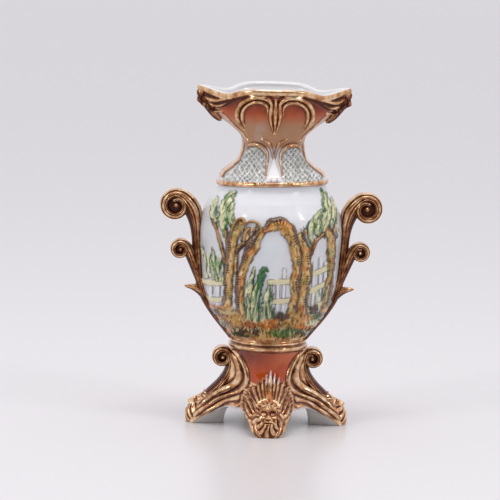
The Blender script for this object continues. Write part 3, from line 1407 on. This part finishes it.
    def board(self) -> Board:
        """Whole board of the foot.

        Returns:
            The board.
        """
        board = Board(-90, 90, -4, 98, Paints.PANEL)
        haze = mottle(board.x, board.z, 16, 72)
        board.brush(WHOLE, 0.8 * eased(haze, 0.4, 0.65) * eased(board.x, -25, 25), Paints.PANEL_PALE)
        board.brush(WHOLE, 0.8 * eased(board.z, 56, 80) * eased(-board.x, -20, 25), Paints.PANEL_DEEP)
        for side in (-1, 1):
            self.flutes(board, side)
            self.wisps(board, side, self.lock_starts, self.lock_steps)
        self.leaves(board)
        board.clear(board.groove, board.window((-24, 28), (28, 64)), 0.35)
        ragged = 45.5 + 0.012 * board.x**2 + 2 * mottle(board.x, board.z, 3, 73)
        board.stain(board.lustre, WHOLE, eased(ragged - board.z, 0, 1))
        bare = eased(1.12 - np.hypot(board.x / 16.5, (board.z - 13) / 20), 0, 0.12)
        board.height *= 1 - bare
        board.clear(board.groove, WHOLE, bare)
        board.stain(board.groove, WHOLE, 0.4 * bare)
        for side in (-1, 1):
            self.wisps(board, side, self.beard_starts, self.beard_steps)
        rings = eased(board.z, 80.6, 81.4)
        board.stain(board.lustre, WHOLE, rings)
        board.clear(board.groove, WHOLE, rings)
        board.stain(board.groove, WHOLE, bump(board.z - 88.8, 0.7) + 0.8 * bump(board.z - 81.4, 0.6))
        board.height *= 1 - eased(board.z, 79, 82)
        cells = board.window((-4, 31), (6, 42))
        jewel = np.hypot(board.x[cells] - 1, (board.z[cells] - 36.8) * 0.85) / 2.8
        board.lift(cells, 5.4 * dome(jewel))
        on = eased(1 - jewel, 0, 0.3)
        board.brush(cells, on, Paints.ORANGE)
        board.clear(board.lustre, cells, on)
        return board


@dataclass
class FootBell:
    """Foot with its four legs, the base rings, the sole and the open hollow underneath."""

    columns: int = 620
    ring_rows: int = 16
    leg_rows: int = 124
    hollow_rows: int = 12
    top: float = 92.8
    top_middle: float = 92.6
    hollow_top: float = 78.0
    crown: float = 86.0
    toe_solid_from: float = 46.0

    def angles(self) -> Array:
        """Angles round the axis, closest on the flanks of the toes and closer in front.

        The wanted density is summed round the circle, and the angles stand at even steps of the sum.

        Returns:
            The angles in radians.
        """
        fine = np.linspace(-math.pi, math.pi, 3601)
        density = (1 + 2.2 * bump(FORM.from_toe(fine) - 19, 8)) * (1 + 0.9 * eased(-np.sin(fine), -0.1, 0.2))
        total = np.cumsum(density)
        total -= total[0]
        return np.interp(np.arange(self.columns) / self.columns * total[-1], total, fine)

    def skin(self) -> Skin:
        """Outside from the top down to the edge, the sole, and up inside the hollow.

        Returns:
            The closed bell.
        """
        relief = FootRelief().board()
        angles = self.angles()[None]
        edge = FORM.foot_edge(angles)
        rings = np.linspace(self.top, FORM.foot_top, self.ring_rows)[:, None] + 0 * edge
        share = np.linspace(0, 1, self.leg_rows + 1)[1:, None]
        heights = np.concatenate([rings, FORM.foot_top + share * (edge - FORM.foot_top)])
        face = FORM.outer(angles, heights)
        height, paint, lustre, groove = facing(face, relief, relief)
        side_on = eased(np.abs(np.sin(angles)), 0.1, 0.24)
        lift = height * side_on * eased(heights - edge, 0.5, 3)
        shell = face - lift[..., None] * outward(face)
        inner_heights = edge + np.linspace(0, 1, self.hollow_rows)[:, None] * (self.hollow_top - edge)
        inner_radius = np.minimum(FORM.foot_radius(angles, inner_heights) - FORM.wall, self.toe_solid_from)
        inner = joined(inner_radius * np.cos(angles), inner_radius * np.sin(angles), inner_heights)
        sole = np.concatenate([shell[-1:] + s * (inner[:1] - shell[-1:]) for s in (0.08, 0.5, 0.92)])
        under = np.zeros((len(sole) + len(inner), self.columns))
        lower = eased(2.0 - (heights - edge), 0, 0.8) * eased(edge, 13, 18)
        return Skin(
            np.concatenate([shell, sole, inner]),
            np.concatenate([blended(paint, Paints.BISQUE, lower), even(under.shape, Paints.BISQUE)]),
            np.concatenate([np.maximum(lustre, 1 - side_on) * (1 - lower), under]),
            np.concatenate([groove * side_on, under]),
            np.array([0, 0, self.top_middle]),
            np.array([0, 0, self.crown]),
        )

    def build(self, material: bpy.types.Material) -> None:
        """Makes the piece."""
        make_piece("foot_bell", [self.skin()], material)


@dataclass
class ToeMask:
    """Mask on a toe: a calm, plain bearded head, with its features on the even thirds of a face."""

    name: str
    turn: float
    half_width: float = 15.5
    half_height: float = 20.5
    half_depth: float = 11.5
    lean: float = 38.0
    face_size: tuple[float, float] = (1.26, 1.2)
    core_inset: tuple[float, float, float] = (1.2, 1.2, 2.4)
    pole_inset: float = 0.6
    limit: float = 86.1
    out: float = 70.5
    height: float = 16.5
    rows: int = 110
    columns: int = 150

    def features(self, x: Array, y: Array) -> Array:
        """Height of the face over the plain egg, in millimetres, at shares of its half sizes.

        Brow, sockets, eyes, lids, nose, cheeks and lips are bells at the places of a drawing
        manual: eyes at the middle of the face, nose foot and lips on the thirds below.

        Args:
            x: Place across.
            y: Place up.

        Returns:
            Height in millimetres.
        """
        side = np.abs(x)
        brow = 1.9 * bump(y - 0.24 + 0.5 * (side - 0.27) ** 2, 0.06)
        brow = brow * eased(side, 0.03, 0.14) * eased(0.56 - side, 0, 0.14)
        socket = -2.6 * bump(side - 0.28, 0.15) * bump(y - 0.11, 0.1)
        eye = 2.4 * dome(np.hypot((side - 0.28) / 0.14, (y - 0.095) / 0.085))
        lid = 0.8 * bump(np.hypot((side - 0.28) / 0.15, (y - 0.1) / 0.09) - 1.05, 0.16)
        nose_width = np.interp(y, [-0.22, -0.14, 0.12, 0.24], [0.13, 0.14, 0.085, 0.08])
        nose_rise = np.interp(y, [-0.27, -0.21, -0.14, 0.12, 0.28], [0, 3.8, 4.8, 2.6, 1.0])
        nose = nose_rise * np.exp(-((side / nose_width) ** 2))
        wing = 1.5 * bump(side - 0.14, 0.055) * bump(y + 0.19, 0.05)
        cheek = 1.7 * bump(side - 0.42, 0.16) * bump(y + 0.08, 0.16)
        lips = 1.5 * bump(side, 0.2) * (bump(y + 0.345, 0.03) + bump(y + 0.425, 0.038))
        parting = -1.2 * bump(side, 0.22) * bump(y + 0.385, 0.014)
        return brow + socket + eye + lid + nose + wing + cheek + lips + parting

    def shade(self, x: Array, y: Array) -> Array:
        """Darkness that has pooled in the sockets, under the nose and between the lips, 0 to 1.

        Args:
            x: Place across.
            y: Place up.

        Returns:
            The darkness.
        """
        side = np.abs(x)
        ring = bump(np.hypot((side - 0.28) / 0.15, (y - 0.1) / 0.1) - 1.15, 0.2)
        under_brow = bump(side - 0.26, 0.15) * bump(y - 0.185, 0.03)
        nostril = bump(side - 0.07, 0.045) * bump(y + 0.25, 0.022)
        beside = bump(side - 0.22 - 0.3 * (-0.1 - y), 0.03) * bump(y + 0.2, 0.13)
        parting = bump(side, 0.2) * bump(y + 0.385, 0.018) + 0.6 * bump(side, 0.13) * bump(y + 0.475, 0.02)
        return np.clip(0.75 * ring + 0.8 * under_brow + nostril + 0.5 * beside + parting, 0, 1)

    def hair(self, x: Array, y: Array, z: Array) -> tuple[Array, Array]:
        """Height and groove of the hair, beard and moustache as rows of waved locks.

        Locks run along a direction that fans out from the face's middle, and their beads follow
        cos of the turn round it.

        Args:
            x: Place across.
            y: Place up.
            z: Place outwards.

        Returns:
            Height in millimetres and groove, 0 to 1.
        """
        side = np.abs(x)
        front = eased(z, -0.1, 0.35)
        face = eased(1 - np.hypot(x / 0.68, (y - 0.02) / 0.64), -0.05, 0.06) * front
        beard = eased(-0.4 - y + 0.5 * eased(side, 0.3, 0.62), -0.04, 0.04)
        mouth = bump(side, 0.24) * bump(y + 0.39, 0.08)
        cover = np.clip(np.maximum(1 - face, beard) - mouth, 0, 1)
        turn = np.arctan2(x, -(y - 0.12))
        reach = np.hypot(x, y - 0.12)
        wave = turn * 17 + 1.9 * np.sin(9 * reach + 1.2 * np.sin(3 * turn))
        strand = 0.5 + 0.5 * np.cos(wave)
        fine = 0.5 + 0.5 * np.cos(2.6 * wave + 2)
        rise = cover * (0.9 + 1.7 * strand + 0.4 * fine)
        moustache = bump(y + 0.3 + 0.7 * side * side, 0.045) * eased(side, 0.0, 0.06)
        moustache = moustache * eased(0.42 - side, 0, 0.12) * front
        return np.maximum(rise, 2.2 * moustache), np.clip(cover * eased(0.42 - strand, 0, 0.35), 0, 1)

    def skin(self) -> Skin:
        """Egg-shaped grid from crown to chin, raised by the features and the hair.

        The point of the unit ball at angle t from the crown and p round it is
        (sin t sin p, cos t, sin t cos p), with p closer together over the face.

        Returns:
            The closed head in its place.
        """
        t = np.linspace(0, math.pi, self.rows + 2)[1:-1, None]
        q = np.linspace(-math.pi, math.pi, self.columns, endpoint=False)[None]
        p = q - 0.42 * np.sin(q)
        ball = joined(np.sin(t) * np.sin(p), np.cos(t), np.sin(t) * np.cos(p))
        x, y, z = np.moveaxis(ball, -1, 0)
        front = eased(z, 0.05, 0.5)
        face_x, face_y = x / self.face_size[0], y / self.face_size[1] - 0.02
        hair, groove = self.hair(face_x, face_y, z)
        rise = 1.1 * front * self.features(face_x, face_y) + hair
        sizes = np.array([self.half_width, self.half_height, self.half_depth])
        push = ball / sizes
        push = push / np.linalg.norm(push, axis=-1, keepdims=True)
        push = blended(push, (0.0, 0.0, 1.0), 0.7 * front)
        points = ball * (sizes - np.array(self.core_inset)) + rise[..., None] * push
        placed = self.place(points)
        placed[..., :2] = np.clip(placed[..., :2], -self.limit, self.limit)
        placed[..., 2] = np.maximum(placed[..., 2], 0)
        dark = np.maximum(groove, front * self.shade(face_x, face_y))
        top = self.half_height - self.pole_inset
        poles = self.place(np.array([[0, top, 0], [0, -top, 0]]))
        poles[..., 2] = np.maximum(poles[..., 2], 0)
        return gilded(placed, dark, poles)

    def place(self, points: Array) -> Array:
        """Points leaned back, set out from the axis and turned to their toe.

        Args:
            points: Points of the upright head.

        Returns:
            The points where they belong.
        """
        tilt = Matrix.Rotation(math.pi / 2 - math.radians(self.lean), 3, "X")
        turn = Matrix.Rotation(math.radians(self.turn), 3, "Z")
        leaned = points @ np.array(tilt).T + np.array([0, -self.out, self.height])
        return leaned @ np.array(turn).T

    def build(self, material: bpy.types.Material) -> None:
        """Makes the piece."""
        make_piece(self.name, [self.skin()], material)


@dataclass(frozen=True)
class Spiral:
    """Coiled end of a band round a centre: turn in degrees, distance of its middle, half width."""

    x: float
    z: float
    half_depth: float
    eye: float
    turns: Stations

    def stations(self) -> Array:
        """Stations (x, z, half width, half depth) along the coil, running clockwise.

        Returns:
            The stations, one a row.
        """
        given = np.array(self.turns)
        turn = np.linspace(given[0, 0], given[-1, 0], 40)
        order = given[::-1]
        away = Curve(tuple((a, b) for a, b, _ in order))(turn)
        half = Curve(tuple((a, c) for a, _, c in order))(turn)
        angle = np.radians(turn)
        depth = self.half_depth * np.interp(turn, [given[-1, 0], given[0, 0]], [0.9, 1])
        return np.stack([self.x + away * np.cos(angle), self.z + away * np.sin(angle), half, depth], axis=1)


@dataclass
class ScrollBand:
    """Fluted band that runs in the side plane and may end in a coil."""

    name: str
    stations: Stations
    spiral: Spiral | None = None
    flutes: Stations = ((0.66, 0.075, 0.3), (0.02, 0.1, 0.14), (-0.3, 0.07, 0.2))
    inner_face: float = 0.26
    rows: int = 260
    around: int = 88

    def band(self) -> Skin:
        """Band with a flat-sided round section whose sides carry the flutes.

        At u across it, from -1 inside the curve to 1 outside, the half depth is
        d * (1 - |u|^3)^(1/2) * (1 - sum of the flutes' bells).

        Returns:
            The closed band.
        """
        path = np.array(self.stations, float)
        if self.spiral is not None:
            path = np.concatenate([path, self.spiral.stations()])
        line = route(path, self.rows)
        place, half, depth = line[:, :2], line[:, 2:3], line[:, 3:4]
        along = np.gradient(place, axis=0)
        along /= np.linalg.norm(along, axis=1, keepdims=True)
        turn = 2 * np.pi * np.arange(self.around) / self.around
        u = np.cos(turn + 0.22 * np.sin(2 * turn))[None]
        level = np.sqrt(np.clip(1 - np.abs(u) ** 3, 0, 1)) * np.sign(np.sin(turn))[None]
        inner_side = eased(-u, 0.34, 0.5)
        cut = sum(deep * bump(u - at, wide) for at, wide, deep in self.flutes) + self.inner_face * inner_side
        row = np.arange(self.rows)[:, None]
        shrink = 0.25 + 0.75 * (eased(row, 0, 5) * eased(self.rows - 1 - row, 0, 5))
        x = place[:, :1] - along[:, 1:] * half * u * shrink
        z = place[:, 1:] + along[:, :1] * half * u * shrink
        y = depth * level * (1 - cut) * shrink
        dark = np.clip(sum(3.2 * deep * bump(u - at, wide * 0.8) for at, wide, deep in self.flutes), 0, 1)
        across, up = place[:, :1], place[:, 1:]
        stem = 0.26 * eased(up, 96, 120) * eased(218 - up, 0, 14) * eased(84 - across, 0, 3)
        groove = np.maximum(np.maximum(dark, 0.85 * inner_side), stem)
        return gilded(joined(x, y, z), groove, [np.array([place[k, 0], 0, place[k, 1]]) for k in (0, -1)])

    def ball(self, coil: Spiral, radius: float, half_depth: float, dark: float) -> Skin:
        """Flattened ball in the side plane: the coil's eye, or the sunk web between its turns.

        At angle t from its pole and p round it, the point is
        (r sin t cos p, d * cos t drawn out by the power 0.6, r sin t sin p).

        Args:
            coil: Coil whose middle it stands in.
            radius: Radius in the side plane.
            half_depth: Distance of its flat sides from that plane.
            dark: Darkness of its groove, 0 to 1.

        Returns:
            The closed ball.
        """
        t = np.linspace(0, math.pi, 20)[1:-1, None]
        p = np.linspace(0, 2 * math.pi, 36, endpoint=False)[None]
        out = np.sign(np.cos(t)) * np.abs(np.cos(t)) ** 0.6
        points = joined(
            coil.x + radius * np.sin(t) * np.cos(p), half_depth * out, coil.z + radius * np.sin(t) * np.sin(p)
        )
        poles = [np.array([coil.x, side * half_depth, coil.z]) for side in (1, -1)]
        return gilded(points, np.full(points.shape[:2], dark), poles)

    def mirrored(self, skin: Skin) -> Skin:
        """Skin on the other side of the vase.

        Args:
            skin: Skin on the right.

        Returns:
            The mirror image.
        """
        flip = np.array([-1.0, 1.0, 1.0])
        first, last = skin.first_pole * flip, skin.last_pole * flip
        return replace(skin, points=skin.points * flip, first_pole=first, last_pole=last)

    def build(self, material: bpy.types.Material) -> None:
        """Makes the piece on the right and its mirror image on the left.

        Args:
            material: Finish of the piece.
        """
        skins = [self.band()]
        if self.spiral is not None:
            coil = self.spiral
            outermost = coil.turns[0][1] + coil.turns[0][2]
            skins.append(self.ball(coil, 0.8 * outermost, 0.55 * coil.half_depth, 1.0))
            skins.append(self.ball(coil, coil.eye, 1.06 * coil.half_depth, 0.0))
        make_piece(f"{self.name}_right", skins, material)
        make_piece(f"{self.name}_left", [self.mirrored(skin) for skin in skins], material)


@dataclass
class SideScrolls:
    """Everything that stands in the side plane: handles, thorns, leg scrolls and mouth corners."""

    upper: Spiral = Spiral(101, 232.5, 11.5, 3.4, (
        (90, 11.5, 6.0), (0, 11.5, 5.4), (-90, 10.6, 5.2), (-180, 8.2, 4.6), (-270, 5.6, 3.6),
        (-350, 3.8, 2.4),
    ))
    lower: Spiral = Spiral(95, 185.5, 9.5, 2.5, (
        (100, 7.2, 4.1), (0, 7.2, 3.9), (-90, 6.5, 3.6), (-180, 5.0, 3.0), (-270, 3.4, 2.2), (-340, 2.4, 1.5),
    ))
    leg: Spiral = Spiral(47.6, 71.2, 12.5, 2.6, (
        (140, 7.5, 4.5), (90, 7.5, 4.5), (0, 7.5, 4.3), (-90, 6.8, 3.9), (-180, 5.2, 3.3), (-260, 3.6, 2.3),
        (-330, 2.5, 1.5),
    ))

    def bands(self) -> list[ScrollBand]:
        """Bands of the right side, with the coils that end them.

        Returns:
            The bands.
        """
        return [
            ScrollBand("handle", (
                (36, 89, 3, 7), (46, 102, 3.6, 8.5), (59.5, 120, 4.2, 9.5), (69, 137, 4.8, 10),
                (74.3, 155, 5, 10), (77, 180, 5.2, 10), (78.6, 203, 5.8, 10), (80, 216, 7.6, 10.5),
                (83.6, 228, 9.4, 11), (90, 237.4, 8.6, 11.3), (96, 242.6, 7, 11.5),
            ), self.upper),
            ScrollBand("handle_lower_scroll", (
                (73.5, 146, 2.4, 8), (77.4, 160, 4.4, 9), (82, 173, 5.4, 9.4), (86.6, 184, 5.8, 9.5),
                (90.5, 190.6, 4.9, 9.5),
            ), self.lower, rows=170, around=72),
            ScrollBand("handle_thorn", (
                (66, 137, 7, 8), (74, 142.5, 5.4, 7.4), (82, 145, 3.2, 4.8), (88, 145.6, 1.6, 2.2),
                (90.6, 145.8, 0.5, 0.8),
            ), flutes=((0.35, 0.16, 0.2),), rows=60, around=48),
            ScrollBand("leg_scroll", (
                (69, 24, 4.6, 12.5), (59, 33, 5, 13), (48.6, 43.6, 5, 13), (42, 54, 4.8, 13),
                (39.6, 64, 4.6, 12.8),
            ), self.leg, rows=200, around=80),
            ScrollBand("mouth_corner", (
                (55, 322.5, 2.2, 4), (61.2, 328.2, 4, 6), (67.4, 336.3, 5, 7.6), (72.4, 343.8, 5.4, 8.4),
                (77, 350.6, 4.6, 7), (80.4, 356, 2.4, 3.6),
            ), rows=90, around=64),
        ]

    def build(self, material: bpy.types.Material) -> None:
        """Makes every band on both sides."""
        for band in self.bands():
            band.build(material)


@dataclass
class Rosettes:
    """Small turned flowers at the corners of the mouth, on the front and back."""

    petals: int = 5
    spots: Stations = ((73.5, 346, 7.4, 8.6), (65.5, 337.5, 5.2, 8.2))
    rise: float = 3.4
    sunk: float = 2.5
    domed_rows: int = 20

    def flower(self, x: float, z: float, radius: float, out: float, side: int) -> Skin:
        """Domed flower: height sqrt(1 - r^2) times the petals' wave, with a sunk ring round its eye.

        Args:
            x: Middle, across.
            z: Middle, up.
            radius: Radius of the flower.
            out: Distance of its foot from the side plane.
            side: -1 on the front and 1 on the back.

        Returns:
            The closed flower, with a flat back inside the corner.
        """
        r = np.concatenate([np.linspace(0.04, 1, self.domed_rows), np.linspace(0.9, 0.1, 4)])[:, None]
        p = np.linspace(0, 2 * math.pi, 60, endpoint=False)[None]
        wave = np.cos(self.petals * p + 2.2 * r)
        petalled = dome(r * 0.98) * (0.75 + 0.25 * wave * eased(r, 0.3, 0.7))
        top = self.rise * (petalled - 0.34 * bump(r - 0.42, 0.11))
        height = np.where(np.arange(len(r))[:, None] < self.domed_rows, top, -self.sunk)
        ring = radius * r * (1 + 0.09 * wave * eased(r, 0.5, 0.9))
        points = joined(x + ring * np.cos(p), side * (out + height), z + ring * np.sin(p))
        dark = np.clip(0.4 + bump(r - 0.42, 0.12) + eased(0.2 - wave, 0, 0.9) * eased(r, 0.5, 0.8), 0, 1)
        poles = [np.array([x, side * (out + rise), z]) for rise in (self.rise, -self.sunk)]
        return gilded(points, dark, poles)

    def build(self, material: bpy.types.Material) -> None:
        """Makes the flowers of each side as one piece.

        Args:
            material: Finish of the piece.
        """
        for word, hand in (("right", 1), ("left", -1)):
            skins = [
                self.flower(hand * x, z, radius, out, side)
                for x, z, radius, out in self.spots for side in (-1, 1)
            ]
            make_piece(f"mouth_rosettes_{word}", skins, material)


class Socket:
    """Number socket of a shader that can be worked with like a number."""

    def __init__(self, shader: "Shader", socket: bpy.types.NodeSocket) -> None:
        """Wraps an output socket of one of the shader's nodes."""
        self.shader = shader
        self.socket = socket

    def _math(self, operation: str, first: "Socket | float", second: "Socket | float") -> "Socket":
        """Math node of two values."""
        return self.shader.node("ShaderNodeMath", {"operation": operation}, {0: first, 1: second})

    def __add__(self, other: "Socket | float") -> "Socket":
        """Sum."""
        return self._math("ADD", self, other)

    __radd__ = __add__

    def __mul__(self, other: "Socket | float") -> "Socket":
        """Product."""
        return self._math("MULTIPLY", self, other)

    __rmul__ = __mul__

    def __sub__(self, other: "Socket | float") -> "Socket":
        """Difference."""
        return self._math("SUBTRACT", self, other)

    def __rsub__(self, other: float) -> "Socket":
        """Difference from a number."""
        return self._math("SUBTRACT", other, self)


class Shader:
    """Material under construction: makes nodes and joins their sockets."""

    def __init__(self, name: str) -> None:
        """Starts a material with only its output.

        Args:
            name: Name of the material.
        """
        self.material = bpy.data.materials.new(name)
        self.material.use_nodes = True
        self.tree = self.material.node_tree
        self.tree.nodes.clear()

    def node(self, kind: str, settings: dict | None = None, inputs: dict | None = None,
             output: str | int = 0) -> Socket:
        """Node with its settings made first, then its sockets' values or links.

        Args:
            kind: Type of the node.
            settings: Its own settings; "stops" gives a ramp's (place, colour) pairs.
            inputs: Values or sockets by the socket's name or number.
            output: Output that is wanted.

        Returns:
            The wanted output.
        """
        made = self.tree.nodes.new(kind)
        for key, value in (settings or {}).items():
            if key == "stops":
                ramp = made.color_ramp
                while len(ramp.elements) < len(value):
                    ramp.elements.new(0.5)
                for element, (place, colour) in zip(ramp.elements, value):
                    element.position = place
                    element.color = (*colour, 1)
            else:
                setattr(made, key, value)
        for key, value in (inputs or {}).items():
            socket = made.inputs[key]
            if isinstance(value, Socket):
                self.tree.links.new(value.socket, socket)
            else:
                socket.default_value = value
        return Socket(self, made.outputs[output])

    def surfaced(self, surface: Socket) -> bpy.types.Material:
        """Material with this surface joined to its output.

        Args:
            surface: Output of its shader.

        Returns:
            The material.
        """
        output = self.tree.nodes.new("ShaderNodeOutputMaterial")
        self.tree.links.new(surface.socket, output.inputs["Surface"])
        return self.material

    def mix(self, first: Socket | Colour, second: Socket | Colour, share: Socket | float) -> Socket:
        """Colour mix of two colours.

        Args:
            first: Colour at a share of 0.
            second: Colour at a share of 1.
            share: Share of the second.

        Returns:
            The mixed colour.
        """
        colours = [value if isinstance(value, Socket) else (*value, 1) for value in (first, second)]
        inputs = {"Factor": share, "A": colours[0], "B": colours[1]}
        return self.node("ShaderNodeMix", {"data_type": "RGBA"}, inputs, "Result")


@dataclass(frozen=True)
class Finish:
    """Glazed ceramic whose paint, lustre and grooves come from the piece's own layers."""

    name: str
    streak: float = 0.12
    gloss: float = 0.14
    coat: float = 0.2
    coat_roughness: float = 0.06
    refraction: float = 1.33
    metal: float = 0.8
    ripple: float = 0.08
    ripple_depth: float = 0.0006
    fired_brown: Colour = tone(70, 26, 12)
    brown: Colour = tone(124, 66, 34)
    gold: Colour = tone(194, 140, 92)
    pale: Colour = tone(240, 208, 168)

    def material(self) -> bpy.types.Material:
        """Material of the finish; it is made once and then shared.

        The paint is streaked by a fine noise and pools darker in the grooves. The lustre runs from
        brown to pale gold by a slow noise, is nearly black in the grooves, and is metallic.

        Returns:
            The material.
        """
        shader = Shader(self.name)
        place = shader.node("ShaderNodeTexCoord", output="Object")

        def noise(scale: float, detail: float) -> Socket:
            """Noise on the piece's own coordinates."""
            return shader.node("ShaderNodeTexNoise", {}, {
                "Vector": place, "Scale": scale, "Detail": detail, "Roughness": 0.5}, "Fac")

        def layer(name: str, output: str) -> Socket:
            """Layer painted on the piece."""
            return shader.node("ShaderNodeAttribute", {"attribute_name": name}, {}, output)

        lustre, groove = layer("lustre", "Fac"), layer("groove", "Fac")
        fine, slow = noise(1400, 3), noise(110, 2)
        streaked = shader.mix(layer("paint", "Color"), self.fired_brown, self.streak * (fine * slow))
        pigment = shader.mix(streaked, self.fired_brown, groove * 0.55)
        level = (slow * 0.86 + noise(300, 3) * 0.46) - groove * 0.85
        gilt = shader.node("ShaderNodeValToRGB", {"stops": (
            (0.0, self.fired_brown), (0.34, self.brown), (0.58, self.gold), (0.82, self.pale),
        )}, {"Fac": level}, "Color")
        base = shader.mix(pigment, gilt, lustre)
        height = fine * 0.35 + noise(260, 2)
        normal = shader.node("ShaderNodeBump", {}, {
            "Strength": self.ripple, "Distance": self.ripple_depth, "Height": height}, "Normal")
        surface = shader.node("ShaderNodeBsdfPrincipled", {}, {
            "Base Color": base,
            "Metallic": lustre * (self.metal - groove * 0.35),
            "Roughness": self.gloss + fine * 0.06 + lustre * 0.02 + groove * 0.25,
            "Coat Weight": self.coat,
            "Coat Roughness": self.coat_roughness,
            "IOR": self.refraction,
            "Normal": normal,
        }, "BSDF")
        return shader.surfaced(surface)


@dataclass
class Studio:
    """Floor, light and camera."""

    distance: float = 3.180
    height: float = 0.647
    pitch: float = 8.26
    roll: float = 1.5
    round_vase: float = -2.0
    aim_off: float = 0.387
    focal_pixels: float = 3032.0
    picture_pixels: float = 500.0
    sensor: float = 36.0
    floor_half: float = 45.0
    floor_paint: Colour = tone(215, 213, 215)
    card_half: float = 4.5
    card_away: float = 4.8
    card_heights: tuple[float, float] = (0.4, 3.4)
    card_paint: Colour = tone(70, 50, 40)
    air: Colour = tone(234, 232, 236)
    air_strength: float = 1.08
    aim: tuple[float, float, float] = (0.0, 0.0, 0.18)
    lamps: tuple = (
        ("overhead", (0.0, -0.4, 2.2), (1.2, 0.5), 15),
        ("left", (-1.7, -1.3, 1.3), (0.25, 0.8), 9),
        ("right", (1.7, -1.2, 1.5), (0.2, 0.7), 7),
    )

    def camera(self) -> None:
        """Long lens a little above the vase, tipped as the photograph is."""
        data = bpy.data.cameras.new("camera")
        data.sensor_width = self.sensor
        data.lens = self.focal_pixels / self.picture_pixels * self.sensor
        data.clip_end = 100
        camera = linked("camera", data)
        turn = math.radians(self.round_vase)
        place = Matrix.Rotation(turn, 4, "Z") @ Vector((0, -self.distance, self.height))
        camera.matrix_world = (
            Matrix.Translation(place)
            @ Matrix.Rotation(turn + math.radians(self.aim_off), 4, "Z")
            @ Matrix.Rotation(math.pi / 2 - math.radians(self.pitch), 4, "X")
            @ Matrix.Rotation(math.radians(self.roll), 4, "Z")
        )
        bpy.context.scene.camera = camera

    def sheet(self, name: str, corners: list[tuple[float, float, float]], kind: str,
              inputs: dict) -> bpy.types.Object:
        """Flat sheet with a plain material.

        Args:
            name: Name of the sheet and its material.
            corners: Its four corners in turn, in metres.
            kind: Type of its shader's node.
            inputs: Values of that node's sockets.

        Returns:
            The sheet.
        """
        mesh = bpy.data.meshes.new(name)
        mesh.from_pydata(corners, [], [(0, 1, 2, 3)])
        shader = Shader(name)
        mesh.materials.append(shader.surfaced(shader.node(kind, {}, inputs, "BSDF")))
        return linked(name, mesh)

    def floor(self) -> None:
        """Plain pale floor with a faint sheen."""
        half = self.floor_half
        corners = [(-half, -half, 0), (half, -half, 0), (half, half, 0), (-half, half, 0)]
        floor = self.sheet("floor", corners, "ShaderNodeBsdfPrincipled", {
            "Base Color": (*self.floor_paint, 1), "Roughness": 0.3, "Specular IOR Level": 0.35})

    def card(self) -> None:
        """Dark card behind the camera, which gives the lustre something dark to mirror."""
        half, away, (low, high) = self.card_half, -self.card_away, self.card_heights
        corners = [(-half, away, low), (half, away, low), (half, away, high), (-half, away, high)]
        card = self.sheet("card", corners, "ShaderNodeBsdfDiffuse", {"Color": (*self.card_paint, 1)})
        card.visible_camera = False

    def lights(self) -> None:
        """Soft lights that face the vase, one overhead and one at each side, and pale air all round."""
        for name, place, size, power in self.lamps:
            data = bpy.data.lights.new(name, "AREA")
            data.shape = "RECTANGLE"
            data.size, data.size_y = size
            data.energy = power
            lamp = linked(name, data)
            lamp.location = place
            lamp.rotation_euler = (Vector(self.aim) - Vector(place)).to_track_quat("-Z", "Y").to_euler()
        world = bpy.data.worlds.new("air")
        bpy.context.scene.world = world
        world.use_nodes = True
        background = world.node_tree.nodes["Background"]
        background.inputs["Color"].default_value = (*self.air, 1)
        background.inputs["Strength"].default_value = self.air_strength

    def build(self) -> None:
        """Sets the scene round the vase."""
        self.camera()
        self.floor()
        self.card()
        self.lights()
        bpy.context.scene.view_settings.view_transform = "Standard"


def main() -> None:
    """Builds the vase's pieces in order, from the foot up."""
    logging.basicConfig(level=logging.INFO, format="%(name)s: %(message)s")
    Studio().build()
    gold = Finish("gold_lustre").material()
    FootBell().build(Finish("orange_glaze", gloss=0.1, coat=0.7).material())
    PotBody().build(Finish("painted_relief", streak=0.2, gloss=0.16).material())
    NeckAndMouth().build(Finish("white_glaze", streak=0.1, gloss=0.12).material())
    for name, turn in (("front", 0), ("right", 90), ("back", 180), ("left", 270)):
        ToeMask(f"toe_mask_{name}", turn).build(gold)
    SideScrolls().build(gold)
    Rosettes().build(gold)


if __name__ == "__main__":
    main()
